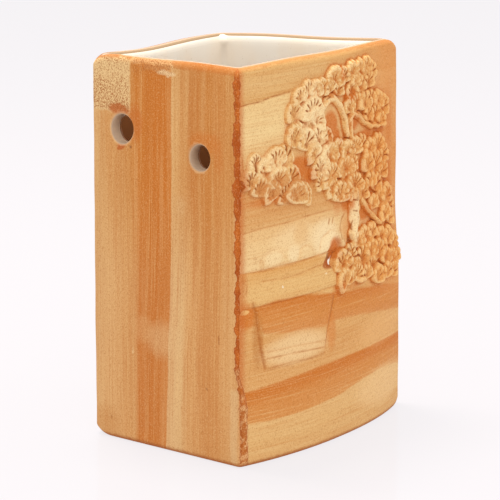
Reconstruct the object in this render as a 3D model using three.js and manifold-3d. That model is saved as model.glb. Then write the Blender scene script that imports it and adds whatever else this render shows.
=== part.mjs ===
// A wall-hung ceramic pot, built from slabs of clay. Five slabs and four corner coils make
// an open box with a bowed front, a poured glaze lines it, and a bonsai pine in a planter
// is sprigged on to the front. Two round hanging holes go through the left slab.
// Millimetres, +Z up. The relief faces -Y and the hanging holes face -X.

import * as THREE from 'three';
import { mergeVertices } from 'three/addons/utils/BufferGeometryUtils.js';
import Module from 'manifold-3d';

const wasm = await Module();
wasm.setup();

// Driving dimensions
const HEIGHT = 150;
const FRONT_WIDTH = 122;
const BACK_WIDTH = 90.6;
const DEPTH = 76.4;
const WALL = 5.5;
const FLOOR = 6;
const BOW_TOP = 1.8; // how far the front's middle stands out past its corners, at the rim
const BOW_BOTTOM = 9.9; // and at the foot
const FRONT_SEAM = 9; // how far a front corner coil reaches along each wall
const BACK_SEAM = 6.5;
const FRONT_CORNER_RADIUS = 1.5;
const CORNER_RADIUS = 3;
const INNER_RADIUS = 1.7;
const GLAZE = 0.8;
const GLAZE_RADIUS = 3;
const GAP = 0.3; // between pieces that touch

// Hanging holes, measured along the left slab from its back edge, and up from the foot
const HOLES = [
  { along: 16.6, up: 122, diameter: 11.5 },
  { along: 57.6, up: 115, diameter: 10 },
];

// How far each kind of sprig stands out from the front slab
const PLANTER_RELIEF = 0.8;
const RIM_RELIEF = 1;
const MOSS_RELIEF = 1.2;
const BRANCH_RELIEF = 2.4;
const TRUNK_RELIEF = 2.8;
const FOLIAGE_RELIEF = 2.6;

const FLANK_SLANT = (FRONT_WIDTH - BACK_WIDTH) / 2;

// ---- Plan of the pot ----

const PLAN = [
  new THREE.Vector2(0, 0),
  new THREE.Vector2(FRONT_WIDTH, 0),
  new THREE.Vector2(FRONT_WIDTH - FLANK_SLANT, DEPTH),
  new THREE.Vector2(FLANK_SLANT, DEPTH),
];
const FRONT = 0;
const RIGHT = 1;
const BACK = 2;
const LEFT = 3;
const FRONT_COLUMNS = 20;
const FILLET_STEPS = 4;

function sideOf(index) {
  const start = PLAN[index % 4];
  const end = PLAN[(index + 1) % 4];
  const along = end.clone().sub(start);
  const length = along.length();
  along.divideScalar(length);
  const inward = new THREE.Vector2(-along.y, along.x);
  return { start, along, inward, length };
}

// The point a distance along a side and set in from its outer face
function onSide(index, distance, inset) {
  const { start, along, inward } = sideOf(index);
  return start.clone().addScaledVector(along, distance).addScaledVector(inward, inset);
}

// The corner where side index begins, set in from both of its faces
function cornerAt(index, inset) {
  const before = sideOf((index + 3) % 4);
  const after = sideOf(index);
  const slope = Math.tan(Math.acos(before.along.dot(after.along)) / 2);
  return after.start
    .clone()
    .addScaledVector(after.inward, inset)
    .addScaledVector(after.along, inset * slope);
}

// A corner rounded by a curve that leaves each side `radius` from the corner
function roundedCorner(index, inset, radius) {
  const corner = cornerAt(index, inset);
  const from = corner.clone().addScaledVector(sideOf((index + 3) % 4).along, -radius);
  const to = corner.clone().addScaledVector(sideOf(index).along, radius);
  return new THREE.QuadraticBezierCurve(from, corner, to).getPoints(FILLET_STEPS);
}

// How far the coil at the corner where side index begins reaches along each wall
function seamReach(index) {
  return index % 4 < 2 ? FRONT_SEAM : BACK_SEAM;
}

// Push the plan's front out into its bow. Points slide along lines that run from the front
// to the back, so the two flanks stay flat.
function bowed(point, z) {
  const back = point.y / DEPTH;
  const across = (point.x - FLANK_SLANT * back) / (FRONT_WIDTH - 2 * FLANK_SLANT * back);
  const bow = THREE.MathUtils.lerp(BOW_BOTTOM, BOW_TOP, z / HEIGHT);
  const moved = back - (bow / DEPTH) * 4 * across * (1 - across) * (1 - back);
  const x = FLANK_SLANT * moved + across * (FRONT_WIDTH - 2 * FLANK_SLANT * moved);
  return new THREE.Vector3(x, DEPTH * moved, z);
}

// ---- Solids ----

function asManifold(geometry) {
  const bare = new THREE.BufferGeometry();
  bare.setAttribute('position', geometry.attributes.position);
  bare.setIndex(geometry.index);
  const merged = mergeVertices(bare, 1e-4);
  return new wasm.Manifold(
    new wasm.Mesh({
      numProp: 3,
      vertProperties: new Float32Array(merged.attributes.position.array),
      triVerts: new Uint32Array(merged.index.array),
    }),
  );
}

function asGeometry(manifold) {
  const mesh = manifold.getMesh();
  const geometry = new THREE.BufferGeometry();
  geometry.setAttribute('position', new THREE.BufferAttribute(mesh.vertProperties, 3));
  geometry.setIndex(new THREE.BufferAttribute(mesh.triVerts, 1));
  return geometry;
}

// A closed solid through rings of points, one ring for each height, lowest first
function loft(rings) {
  const count = rings[0].length;
  const positions = rings.flat().flatMap((point) => point.toArray());
  const indices = [];
  for (let level = 0; level < rings.length - 1; level += 1) {
    for (let i = 0; i < count; i += 1) {
      const a = level * count + i;
      const b = level * count + ((i + 1) % count);
      indices.push(a, b, b + count, a, b + count, a + count);
    }
  }
  const outline = rings[0].map((point) => new THREE.Vector2(point.x, point.y));
  const top = (rings.length - 1) * count;
  for (const [a, b, c] of THREE.ShapeUtils.triangulateShape(outline, [])) {
    indices.push(a, c, b, top + a, top + b, top + c);
  }
  const geometry = new THREE.BufferGeometry();
  geometry.setAttribute('position', new THREE.Float32BufferAttribute(positions, 3));
  geometry.setIndex(indices);
  return geometry;
}

// ---- Walls ----

// Heights of a wall's rings, with how far its outer and inner faces draw in there
const FOOT = [
  { z: 0, outer: 1.6, inner: 0 },
  { z: 0.6, outer: 0.5, inner: 0 },
  { z: 2, outer: 0, inner: 0 },
];
const RIM = [
  { z: HEIGHT - 3, outer: 0, inner: 0 },
  { z: HEIGHT - 0.9, outer: 0.8, inner: 0.3 },
  { z: HEIGHT, outer: 2.2, inner: 1.3 },
];
const MIDDLE_HEIGHTS = [25, 50, 75, 100, 125];
const MIDDLE = MIDDLE_HEIGHTS.map((z) => ({ z, outer: 0, inner: 0 }));
const PROFILE = [...FOOT, ...MIDDLE, ...RIM];

// A wall between two paths: one along its outer face and one along its inner face
function wall(pathAt) {
  const rings = PROFILE.map(({ z, outer, inner }) => {
    const outside = pathAt(outer, false);
    const inside = pathAt(WALL - inner, true).reverse();
    return [...outside, ...inside].map((point) => bowed(point, z));
  });
  return loft(rings);
}

function slabPath(index, columns, inset) {
  const from = seamReach(index) + GAP / 2;
  const to = sideOf(index).length - seamReach(index + 1) - GAP / 2;
  const path = [];
  for (let i = 0; i <= columns; i += 1) {
    path.push(onSide(index, THREE.MathUtils.lerp(from, to, i / columns), inset));
  }
  return path;
}

function slab(index, columns) {
  return wall((inset) => slabPath(index, columns, inset));
}

function seam(index, radius) {
  const reach = seamReach(index) - GAP / 2;
  const before = (index + 3) % 4;
  const start = sideOf(before).length - reach;
  return wall((inset, inner) => [
    onSide(before, start, inset),
    ...roundedCorner(index, inset, inner ? INNER_RADIUS : radius),
    onSide(index, reach, inset),
  ]);
}

// The whole plan as one closed ring at a height
function planRing(inset, z) {
  const points = [];
  for (let index = 0; index < 4; index += 1) {
    points.push(...roundedCorner(index, inset, GLAZE_RADIUS));
    if (index === FRONT) points.push(...slabPath(FRONT, FRONT_COLUMNS, inset).slice(1, -1));
  }
  return points.map((point) => bowed(point, z));
}

function planBlock(inset, bottom, top) {
  const between = MIDDLE_HEIGHTS.filter((z) => z > bottom && z < top);
  return loft([bottom, ...between, top].map((z) => planRing(inset, z)));
}

// A rod through the left slab where a hanging hole is
function holeCutter({ along, up, diameter }) {
  const centre = onSide(LEFT, along, WALL / 2);
  const rod = new THREE.CylinderGeometry(diameter / 2, diameter / 2, 4 * WALL, 24);
  rod.rotateZ(Math.PI / 2 + sideOf(LEFT).inward.angle());
  rod.translate(centre.x, centre.y, up);
  return asManifold(rod);
}

function withHangingHoles(geometry) {
  let solid = asManifold(geometry);
  for (const hole of HOLES) solid = solid.subtract(holeCutter(hole));
  return asGeometry(solid);
}

function glazeLining() {
  const outside = asManifold(planBlock(WALL + GAP, FLOOR + GAP, HEIGHT - 2));
  const inside = planBlock(WALL + GAP + GLAZE, FLOOR + GAP + GLAZE, HEIGHT);
  return withHangingHoles(asGeometry(outside.subtract(asManifold(inside))));
}

// ---- Sprigs on the front ----

const PRISM_DEPTH = 60;

// The layer of clay between the front slab's face, with a gap, and a height above it
function reliefLayer(relief) {
  const levels = [...MIDDLE_HEIGHTS, HEIGHT - 1];
  const rings = levels.map((z) => {
    const path = [onSide(FRONT, 0, 0), ...slabPath(FRONT, FRONT_COLUMNS, 0)];
    path.push(onSide(FRONT, FRONT_WIDTH, 0));
    const face = path.map((point) => bowed(point, z));
    const outside = face.map((point) => point.clone().setY(point.y - GAP - relief));
    const inside = face.map((point) => point.clone().setY(point.y - GAP)).reverse();
    return [...outside, ...inside];
  });
  return asManifold(loft(rings));
}

function disc([x, z, radius], extra) {
  const sides = 10;
  const rod = new THREE.CylinderGeometry(radius + extra, radius + extra, PRISM_DEPTH, sides);
  rod.translate(x, 0, z);
  return asManifold(rod);
}

function prism(points) {
  const shape = new THREE.Shape(points.map(([x, z]) => new THREE.Vector2(x, z)));
  const block = new THREE.ExtrudeGeometry(shape, { depth: PRISM_DEPTH, bevelEnabled: false });
  block.rotateX(Math.PI / 2);
  block.translate(0, PRISM_DEPTH / 2, 0);
  return asManifold(block);
}

// Rolled clay: discs along a line, joined by tapering bars
function coil(stations, extra) {
  let solid = disc(stations[0], extra);
  for (let i = 1; i < stations.length; i += 1) {
    const [x0, z0, r0] = stations[i - 1];
    const [x1, z1, r1] = stations[i];
    const length = Math.hypot(x1 - x0, z1 - z0);
    const nx = -(z1 - z0) / length;
    const nz = (x1 - x0) / length;
    const w0 = r0 + extra;
    const w1 = r1 + extra;
    const bar = prism([
      [x0 - nx * w0, z0 - nz * w0],
      [x1 - nx * w1, z1 - nz * w1],
      [x1 + nx * w1, z1 + nz * w1],
      [x0 + nx * w0, z0 + nz * w0],
    ]);
    solid = solid.add(bar).add(disc(stations[i], extra));
  }
  return solid;
}

function fans(list, extra) {
  return wasm.Manifold.union(list.map((fan) => disc(fan, extra)));
}

// Needle fans of each foliage pad: x, z and radius, from the front's left edge and the foot
const FOLIAGE = {
  foliage_top_left: [
    [65, 141, 5],
    [71.5, 141, 4],
    [60, 137.5, 3],
    [68, 136, 3.5],
  ],
  foliage_top_right: [
    [79, 142, 4],
    [85, 141.5, 4.5],
    [91, 143, 4],
    [95.5, 141, 4],
    [81, 138, 3],
    [77, 134.5, 4],
    [85, 136, 4],
    [93, 137, 4],
  ],
  foliage_right_upper: [
    [75, 128.5, 3.5],
    [81, 129.5, 4.5],
    [88, 129.5, 4.5],
    [94.5, 129.5, 4.5],
    [101, 128.5, 4],
    [105.5, 125.5, 4.5],
    [91, 124, 4],
    [98, 123, 4.5],
    [103, 120.5, 3.5],
  ],
  foliage_left_upper: [
    [34, 131, 4.5],
    [38, 136.5, 3.5],
    [44.5, 137.5, 4.5],
    [50, 138, 4],
    [55, 138.5, 3.5],
    [46, 131, 5],
    [41, 127, 4.5],
    [50.5, 127, 4.5],
    [34.5, 121.5, 5],
    [42, 119.5, 5],
    [51, 120, 5],
    [46, 114, 3.5],
    [57, 119.5, 4],
  ],
  foliage_left_lower: [
    [5, 109, 4],
    [8.5, 115, 3.5],
    [14, 112, 4.5],
    [11, 105.5, 4.5],
    [20, 115, 4.5],
    [26.5, 115.5, 5],
    [22, 108, 5],
    [17.5, 103, 4.5],
    [32, 107, 4.5],
    [26, 101, 4.5],
    [34, 100.5, 5],
    [39.5, 100, 5],
  ],
  foliage_centre: [
    [50.5, 108.5, 4.5],
    [51, 102.5, 3.5],
    [58.5, 112.5, 5],
    [65.5, 112.5, 5],
    [57.5, 104, 4.5],
    [62.5, 106, 5],
    [70, 106, 5],
    [59, 99, 4],
    [66, 96.5, 5],
    [71.5, 96, 4.5],
    [72, 112, 4],
    [71, 101, 4],
    [78, 99, 4.5],
    [77, 93.5, 3.5],
    [84.5, 94.5, 4.5],
    [76.5, 106.5, 4],
  ],
  foliage_right_middle: [
    [78.5, 112.5, 4],
    [84.5, 113, 4.5],
    [91, 111, 4],
    [99.5, 111, 5],
    [105.5, 107, 4],
    [97, 104, 5],
    [88.5, 105, 4.5],
    [104, 100.5, 4.5],
    [91, 98, 4],
    [96.5, 96, 4.5],
  ],
  foliage_right_lower: [
    [93, 88.5, 4],
    [99.5, 89, 4.5],
    [106.5, 90, 4.5],
    [111, 85.5, 4],
    [104, 83, 4.5],
    [110, 80, 3.5],
  ],
  foliage_foot_left: [
    [65, 70, 5],
    [72, 71, 4.5],
    [64.5, 62.2, 4.5],
    [70.5, 62.5, 4],
    [76, 63.5, 4.5],
    [70, 66.5, 3.5],
  ],
  foliage_foot_middle: [
    [78.5, 76, 4],
    [85, 76.5, 4.5],
    [91, 77.5, 3.5],
    [82, 69.5, 5],
    [89.5, 71, 4.5],
    [95.5, 69.5, 5],
    [84, 62, 4],
    [90, 64.5, 4],
    [94.5, 59.5, 4.5],
  ],
  foliage_foot_right: [
    [99, 74, 4.5],
    [106, 73, 4.5],
    [112.5, 70.5, 4],
    [103, 66, 4.5],
    [110, 63.5, 5],
    [103.5, 59.5, 4],
    [111.5, 58.5, 4],
    [115.8, 64, 3.2],
  ],
};

// Trunk and branches: x, z and half width along each
const WOOD = {
  pine_trunk: [
    [74, 77.8, 2.8],
    [75.1, 79.6, 2.8],
    [76.4, 82, 3.2],
    [76.6, 84.6, 4.4],
    [76.6, 87.7, 4.7],
    [77.5, 92, 4.3],
  ],
  branch_left_arch: [
    [54.5, 129.5, 1.8],
    [58.8, 132.3, 1.9],
    [63.6, 132.4, 2.1],
    [68, 129.3, 2.1],
    [71.2, 124, 2.2],
    [73, 118, 2.4],
  ],
  branch_right_arch: [
    [76.5, 112.5, 1],
    [75.4, 119, 1.7],
    [75.6, 123, 1.8],
    [77.8, 125, 1.6],
    [82.3, 123.6, 1.6],
    [87.2, 120.3, 1.6],
    [94, 118.2, 1.5],
    [101, 117.6, 1.3],
  ],
  branch_lower_right: [
    [83, 90, 2],
    [88.4, 85.2, 1.7],
    [93.9, 81.6, 1.6],
    [99, 79, 1.2],
  ],
};

const PLANTER_TOP = 60;
const RIM_TOP = 73.4;
const PLANTER_OUTLINE = [
  [13, 35],
  [49, 35],
  [58, PLANTER_TOP],
  [8, PLANTER_TOP],
];
const RIM_OUTLINE = [
  [1.5, PLANTER_TOP + GAP],
  [61, PLANTER_TOP + GAP],
  [61, RIM_TOP],
  [1.5, RIM_TOP],
];
const SOIL_LINE = RIM_TOP + GAP;

// Moss mounds: half of an ellipse standing on the soil line
const MOSS = {
  moss_left: { centre: 22, halfWidth: 12, rise: 6.5 },
  moss_middle: { centre: 40.5, halfWidth: 5.5, rise: 5.5 },
  moss_right: { centre: 59.5, halfWidth: 10, rise: 8.3 },
};

function mound({ centre, halfWidth, rise }) {
  const arc = new THREE.EllipseCurve(centre, SOIL_LINE, halfWidth, rise, 0, Math.PI);
  return prism(arc.getPoints(12).map((point) => [point.x, point.y]));
}

// ---- The pot ----

const pot = new THREE.Group();

function addPiece(name, geometry, color, roughness) {
  const material = new THREE.MeshStandardMaterial({ color, roughness, metalness: 0 });
  const mesh = new THREE.Mesh(geometry, material);
  mesh.name = name;
  pot.add(mesh);
}

const CLAY = 0xd79f63;
const CLAY_PALE = 0xe8cb9a;
const CLAY_RUST = 0xbd6a2e;
const GLAZE_CREAM = 0xf3e8d2;
const CLAY_ROUGHNESS = 0.75;
const GLAZE_ROUGHNESS = 0.15;

addPiece('front_slab', slab(FRONT, FRONT_COLUMNS), CLAY, CLAY_ROUGHNESS);
addPiece('left_slab', withHangingHoles(slab(LEFT, 1)), CLAY, CLAY_ROUGHNESS);
addPiece('right_slab', slab(RIGHT, 1), CLAY, CLAY_ROUGHNESS);
addPiece('back_slab', slab(BACK, 1), CLAY, CLAY_ROUGHNESS);
addPiece('floor_slab', planBlock(WALL + GAP, 0, FLOOR), CLAY, CLAY_ROUGHNESS);
addPiece('seam_front_left', seam(FRONT, FRONT_CORNER_RADIUS), CLAY_RUST, CLAY_ROUGHNESS);
addPiece('seam_front_right', seam(RIGHT, CORNER_RADIUS), CLAY, CLAY_ROUGHNESS);
addPiece('seam_back_right', seam(BACK, CORNER_RADIUS), CLAY, CLAY_ROUGHNESS);
addPiece('seam_back_left', seam(LEFT, CORNER_RADIUS), CLAY, CLAY_ROUGHNESS);
addPiece('glaze_lining', glazeLining(), GLAZE_CREAM, GLAZE_ROUGHNESS);

// Each sprig gives way to the sprigs laid before it, which keep a gap round them
let laid = null;

function addSprig(name, footprint, keepOut, relief, color) {
  const free = laid ? footprint.subtract(laid) : footprint;
  addPiece(name, asGeometry(free.intersect(reliefLayer(relief))), color, CLAY_ROUGHNESS);
  laid = laid ? laid.add(keepOut) : keepOut;
}

for (const [name, list] of Object.entries(FOLIAGE)) {
  addSprig(name, fans(list, 0), fans(list, GAP), FOLIAGE_RELIEF, CLAY_PALE);
}
for (const [name, stations] of Object.entries(WOOD)) {
  const relief = name === 'pine_trunk' ? TRUNK_RELIEF : BRANCH_RELIEF;
  addSprig(name, coil(stations, 0), coil(stations, GAP), relief, CLAY_PALE);
}
for (const [name, shape] of Object.entries(MOSS)) {
  const keepOut = mound({ ...shape, halfWidth: shape.halfWidth + GAP });
  addSprig(name, mound(shape), keepOut, MOSS_RELIEF, CLAY_PALE);
}
addSprig('planter_rim', prism(RIM_OUTLINE), prism(RIM_OUTLINE), RIM_RELIEF, CLAY);
addSprig('planter_body', prism(PLANTER_OUTLINE), prism(PLANTER_OUTLINE), PLANTER_RELIEF, CLAY);

// Stand the pot with its box's bottom centre on the origin
pot.updateMatrixWorld(true);
const box = new THREE.Box3().setFromObject(pot, true);
const centre = box.getCenter(new THREE.Vector3());
pot.position.set(-centre.x, -centre.y, -box.min.z);
pot.updateMatrixWorld(true);

export default pot;
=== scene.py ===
"""The looks of a slab-built ceramic wall pot with a bonsai pine sprigged on to its bowed front.

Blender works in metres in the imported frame. The sizes below are in millimetres, in the pot's own plan,
whose origin is the front left corner at the foot: X along the front, Y towards the back, Z up.
in_frame() turns one into the other.
"""

import math

import bmesh
import bpy
import numpy as np
from mathutils import Matrix, Vector


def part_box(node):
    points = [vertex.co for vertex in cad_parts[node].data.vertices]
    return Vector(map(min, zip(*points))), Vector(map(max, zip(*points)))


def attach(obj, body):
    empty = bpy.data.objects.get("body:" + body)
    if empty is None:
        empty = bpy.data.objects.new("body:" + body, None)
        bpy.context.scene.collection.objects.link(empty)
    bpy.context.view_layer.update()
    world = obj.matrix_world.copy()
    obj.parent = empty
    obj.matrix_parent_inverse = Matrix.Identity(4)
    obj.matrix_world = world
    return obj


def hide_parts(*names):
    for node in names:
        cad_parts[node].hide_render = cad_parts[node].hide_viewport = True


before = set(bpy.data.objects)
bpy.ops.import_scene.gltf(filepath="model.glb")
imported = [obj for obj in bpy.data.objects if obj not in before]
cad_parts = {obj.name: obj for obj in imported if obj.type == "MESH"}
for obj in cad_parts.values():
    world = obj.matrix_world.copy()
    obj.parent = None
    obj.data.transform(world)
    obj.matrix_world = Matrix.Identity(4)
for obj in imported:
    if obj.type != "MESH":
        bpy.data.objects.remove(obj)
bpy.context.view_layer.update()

MM = 0.001

# ---- Sizes ----

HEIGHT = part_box("front_slab")[1].z / MM
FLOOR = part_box("floor_slab")[1].z / MM
FRONT_WIDTH = 122.0
BACK_WIDTH = 90.6
DEPTH = 76.4
WALL = 5.5
BOW_TOP = 1.8
BOW_BOTTOM = 9.9
FLARE = 1.8
FLANK_SLANT = (FRONT_WIDTH - BACK_WIDTH) / 2
FRONT_SEAM = 9.0
BACK_SEAM = 6.5
FRONT_CORNER_RADIUS = 1.5
CORNER_RADIUS = 3.0
INNER_RADIUS = 1.7
GLAZE = 0.6
GLAZE_RADIUS = 3.0
GLAZE_FILLET = 5.0
# The glaze's edge, from under it over the rim to the inside: distance in from the outer face, depth
# below the rim, corner radius
GLAZE_LIP = [
    (5.2, 1.2, 1.7), (4.2, 0.45, 1.7), (2.9, 0.35, 1.8), (2.75, 0.05, 1.8), (3.1, -0.14, 1.9),
    (3.9, -0.1, 2.0), (4.7, 0.3, 2.4), (5.4, 1.1, 3.2), (5.85, 2.2, 4.0), (6.05, 3.4, 4.6),
]

# Hanging holes: distance along the left slab from its back edge, height, radius
HOLES = [(16.6, 122.0, 5.75), (57.6, 115.0, 5.0)]
HOLE_LIP = 0.7
HOLE_SIDES = 72

FRONT, RIGHT, BACK, LEFT = range(4)
PLAN = np.array([
    (0.0, 0.0),
    (FRONT_WIDTH, 0.0),
    (FRONT_WIDTH - FLANK_SLANT, DEPTH),
    (FLANK_SLANT, DEPTH),
])
PLAN_ORIGIN = np.array([-FRONT_WIDTH / 2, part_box("back_slab")[1].y / MM - DEPTH, 0.0])


def in_frame(points):
    """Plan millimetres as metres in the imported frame."""
    return (np.asarray(points, float) + PLAN_ORIGIN) * MM


def in_plan(points):
    """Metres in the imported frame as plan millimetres."""
    return np.asarray(points, float) / MM - PLAN_ORIGIN


# ---- Camera, light and floor ----

CAMERA_AZIMUTH = math.radians(31.36)
CAMERA_PITCH = math.radians(10.68)
CAMERA_DISTANCE = 984.0
CAMERA_SIDE = 3.9
CAMERA_RISE = 7.9
CAMERA_LENS = 192.6


def make_camera():
    forward = Vector((
        math.cos(CAMERA_AZIMUTH) * math.cos(CAMERA_PITCH),
        math.sin(CAMERA_AZIMUTH) * math.cos(CAMERA_PITCH),
        -math.sin(CAMERA_PITCH),
    ))
    right = Vector((math.sin(CAMERA_AZIMUTH), -math.cos(CAMERA_AZIMUTH), 0))
    up = right.cross(forward)
    data = bpy.data.cameras.new("camera")
    data.lens = CAMERA_LENS
    data.sensor_width = 36
    data.clip_start = 0.05
    data.clip_end = 20
    camera = bpy.data.objects.new("camera", data)
    bpy.context.scene.collection.objects.link(camera)
    target = Vector(in_frame((0, 0, HEIGHT / 2)))
    place = target + (right * CAMERA_SIDE + up * CAMERA_RISE - forward * CAMERA_DISTANCE) * MM
    turn = Matrix((right, up, -forward)).transposed().to_4x4()
    camera.matrix_world = Matrix.Translation(place) @ turn
    bpy.context.scene.camera = camera


def make_light(name, place, aim, size, power, colour=(1, 1, 1)):
    data = bpy.data.lights.new(name, "AREA")
    data.shape = "RECTANGLE"
    data.size, data.size_y = size
    data.energy = power
    data.color = colour
    light = bpy.data.objects.new(name, data)
    bpy.context.scene.collection.objects.link(light)
    direction = Vector(aim) - Vector(place)
    light.matrix_world = Matrix.Translation(place) @ direction.to_track_quat("-Z", "Y").to_matrix().to_4x4()


def floor_material():
    """A pale, evenly lit floor with a faint gloss that mirrors the pot."""
    floor = Nodes("floor")
    for name, value in (
        ("Base Color", (0.12, 0.1, 0.1, 1)),
        ("Emission Color", (0.80, 0.795, 0.814, 1)),
        ("Emission Strength", 1.0),
        ("Roughness", 0.35),
        ("Specular IOR Level", 0.0),
    ):
        floor.shader.inputs[name].default_value = value
    gloss = floor.add("BsdfGlossy")
    gloss.inputs["Roughness"].default_value = 0.12
    mixed = floor.add("MixShader")
    for socket, value in zip(mixed.inputs, (0.04, floor.shader.outputs[0], gloss.outputs[0])):
        floor.put(socket, value)
    floor.put(floor.tree.nodes["Material Output"].inputs["Surface"], mixed.outputs[0])
    return floor.material


def make_studio():
    """A pale floor, a pale surround and three soft boxes."""
    scene = bpy.context.scene
    scene.view_settings.view_transform = "Standard"
    world = bpy.data.worlds.new("studio")
    scene.world = world
    world.use_nodes = True
    background = world.node_tree.nodes["Background"]
    background.inputs["Color"].default_value = (0.93, 0.935, 0.95, 1)
    background.inputs["Strength"].default_value = 1.03

    bpy.ops.mesh.primitive_plane_add(size=12, location=(0, 0, 0))
    floor = bpy.context.object
    floor.name = "floor"
    floor.data.materials.append(floor_material())

    middle = (0, 0, 0.08)
    make_light("key_left", (-1.0, -0.7, 0.9), middle, (0.6, 0.9), 3.4)
    make_light("key_right", (0.5, -1.2, 0.8), middle, (0.8, 0.8), 1.5)
    make_light("top", (0.1, 0.3, 1.2), middle, (0.4, 0.4), 11, (1, 0.97, 0.92))


# ---- Plan of the pot ----


def smooth(value, low, high):
    t = np.clip((value - low) / (high - low), 0, 1)
    return t * t * (3 - 2 * t)


def side_of(index):
    """A side of the plan: where it starts, its unit direction, its inward normal and its length."""
    start = PLAN[index % 4]
    along = PLAN[(index + 1) % 4] - start
    length = np.linalg.norm(along)
    along = along / length
    return start, along, np.array((-along[1], along[0])), length


def on_side(index, distance, inset):
    """Points along a side, set in from its outer face."""
    start, along, inward, _ = side_of(index)
    return start + np.multiply.outer(np.asarray(distance, float), along) + inward * inset


def corner_at(index, inset):
    start, along, inward, _ = side_of(index)
    before = side_of(index + 3)[1]
    slope = math.tan(math.acos(before @ along) / 2)
    return start + inward * inset + along * inset * slope


def rounded_corner(index, inset, radius, count):
    """Points round a corner of the plan, from one side to the next."""
    corner = corner_at(index, inset)
    start = corner - side_of(index + 3)[1] * radius
    end = corner + side_of(index)[1] * radius
    t = np.linspace(0, 1, count)[:, None]
    return (1 - t) ** 2 * start + 2 * t * (1 - t) * corner + t**2 * end


def bow_at(z):
    return BOW_BOTTOM + (BOW_TOP - BOW_BOTTOM) * z / HEIGHT


def flare(across, z):
    """How far the front's right end leans out below the foliage."""
    return FLARE * smooth(across, 0.45, 1.0) * (1 - smooth(z, 55, 85))


def bowed(x, y, z):
    """The plan's points pushed out into the front's bow, along lines that run from front to back."""
    back = y / DEPTH
    across = (x - FLANK_SLANT * back) / (FRONT_WIDTH - 2 * FLANK_SLANT * back)
    moved = back - bow_at(z) / DEPTH * 4 * across * (1 - across) * (1 - back)
    return np.stack((
        FLANK_SLANT * moved + across * (FRONT_WIDTH - 2 * FLANK_SLANT * moved),
        DEPTH * moved - flare(across, z) * (1 - back),
        z + 0 * moved,
    ), axis=-1)


def front_face(x, z):
    """The bowed front's Y at X and Z."""
    across = x / FRONT_WIDTH
    for _ in range(4):
        moved = -bow_at(z) / DEPTH * 4 * across * (1 - across)
        across = (x - FLANK_SLANT * moved) / (FRONT_WIDTH - 2 * FLANK_SLANT * moved)
    return -bow_at(z) * 4 * across * (1 - across) - flare(across, z)


# ---- Relief on the front, as maps of height over X and Z ----

# How far apart the maps' points are
STEP = 0.25
MAP_X = np.arange(-2, FRONT_WIDTH + 3, STEP)
MAP_Z = np.arange(0, HEIGHT + STEP / 2, STEP)
GRID_X, GRID_Z = np.meshgrid(MAP_X, MAP_Z)
# How far under the face a map lies where it has no sprig
BELOW = -1.5


def blurred(heights, reach):
    """A map blurred by a bell curve of that width in millimetres."""
    taps = int(3 * reach / STEP)
    offsets = np.arange(-taps, taps + 1)
    weights = np.exp(-0.5 * (offsets * STEP / reach) ** 2)
    weights /= weights.sum()
    result = heights
    for axis in (0, 1):
        pad = [(taps, taps) if a == axis else (0, 0) for a in (0, 1)]
        padded = np.pad(result, pad, mode="edge")
        length = heights.shape[axis]
        moved = (np.take(padded, range(i, i + length), axis) for i in range(2 * taps + 1))
        result = sum(weight * part for weight, part in zip(weights, moved))
    return result


def pillow(depth, height, edge):
    """Height of a soft-edged shape, from how far inside its outline a point is. Outside, it falls away."""
    inside = np.clip(depth / edge, 0, 1)
    return np.where(depth > 0, height * np.sqrt(1 - (1 - inside) ** 2), np.maximum(depth * 1.5, BELOW))


def fan_parts(x, z, radius, direction, index):
    """Where the map's points lie in a fan, a half disc that opens from its base: how far in from its
    edge, how far out from its base, and how near they are to a groove between needles, from 0 to 1."""
    turn = math.radians(direction + (index * 37) % 21 - 10)
    reach = (1.4 + 0.05 * (index % 3)) * radius
    dx = GRID_X - x + 0.55 * radius * math.cos(turn)
    dz = GRID_Z - z + 0.55 * radius * math.sin(turn)
    ahead = dx * math.cos(turn) + dz * math.sin(turn)
    squeeze = 0.9 if index % 2 == 0 and 12 < x < 84 and z > 64 else 1.1
    aside = (dz * math.cos(turn) - dx * math.sin(turn)) * squeeze
    out = np.hypot(ahead, aside) / reach
    angle = np.arctan2(aside, ahead)
    ribs = 3 + index % 2 if x > 84 else 4 + index % 3
    wave = angle / 2.6 * ribs + 0.37 * index + 0.1 * np.sin(5 * out + index)
    groove = np.abs(wave % 1 - 0.5) * 2 * (1 - smooth(np.abs(angle), 1.2, 1.6))
    scallop = (0.03 + 0.07 * smooth(GRID_X, 62, 84)) * groove**2
    edge = reach * (1.0 - scallop - 0.05 * np.sin(2 * angle + index))
    inset = edge - np.hypot(ahead * np.where(ahead > 0, 1.0, 3.2), aside)
    return inset, out, groove


def fan_heights(inset, out, groove, index):
    """A fan lies like a scale: low at its base, with its far edge lifted over what is beyond it."""
    lift = 0.45 + 0.14 * ((index * 7) % 3) + 0.4 * ((index + 1) % 2)
    lift = lift + 1.25 * smooth(out, 0.0, 0.95)
    fingers = (0.1 + 0.2 * smooth(GRID_X, 62, 84)) * groove**2 * smooth(out, 0.3, 0.8)
    inside = np.clip(inset / 0.5, 0, 1)
    return pillow(inset, lift, 2.2) - (0.8 * needle_lines(out, groove, index) + fingers) * inside


def needle_lines(out, groove, index):
    """The sharp lines between needles, strongest near the base."""
    length = 0.72 + 0.09 * ((index * 5) % 4)
    return groove**4 * smooth(out, 0.06, 0.2) * (1 - smooth(out, length - 0.25, length))


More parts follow.
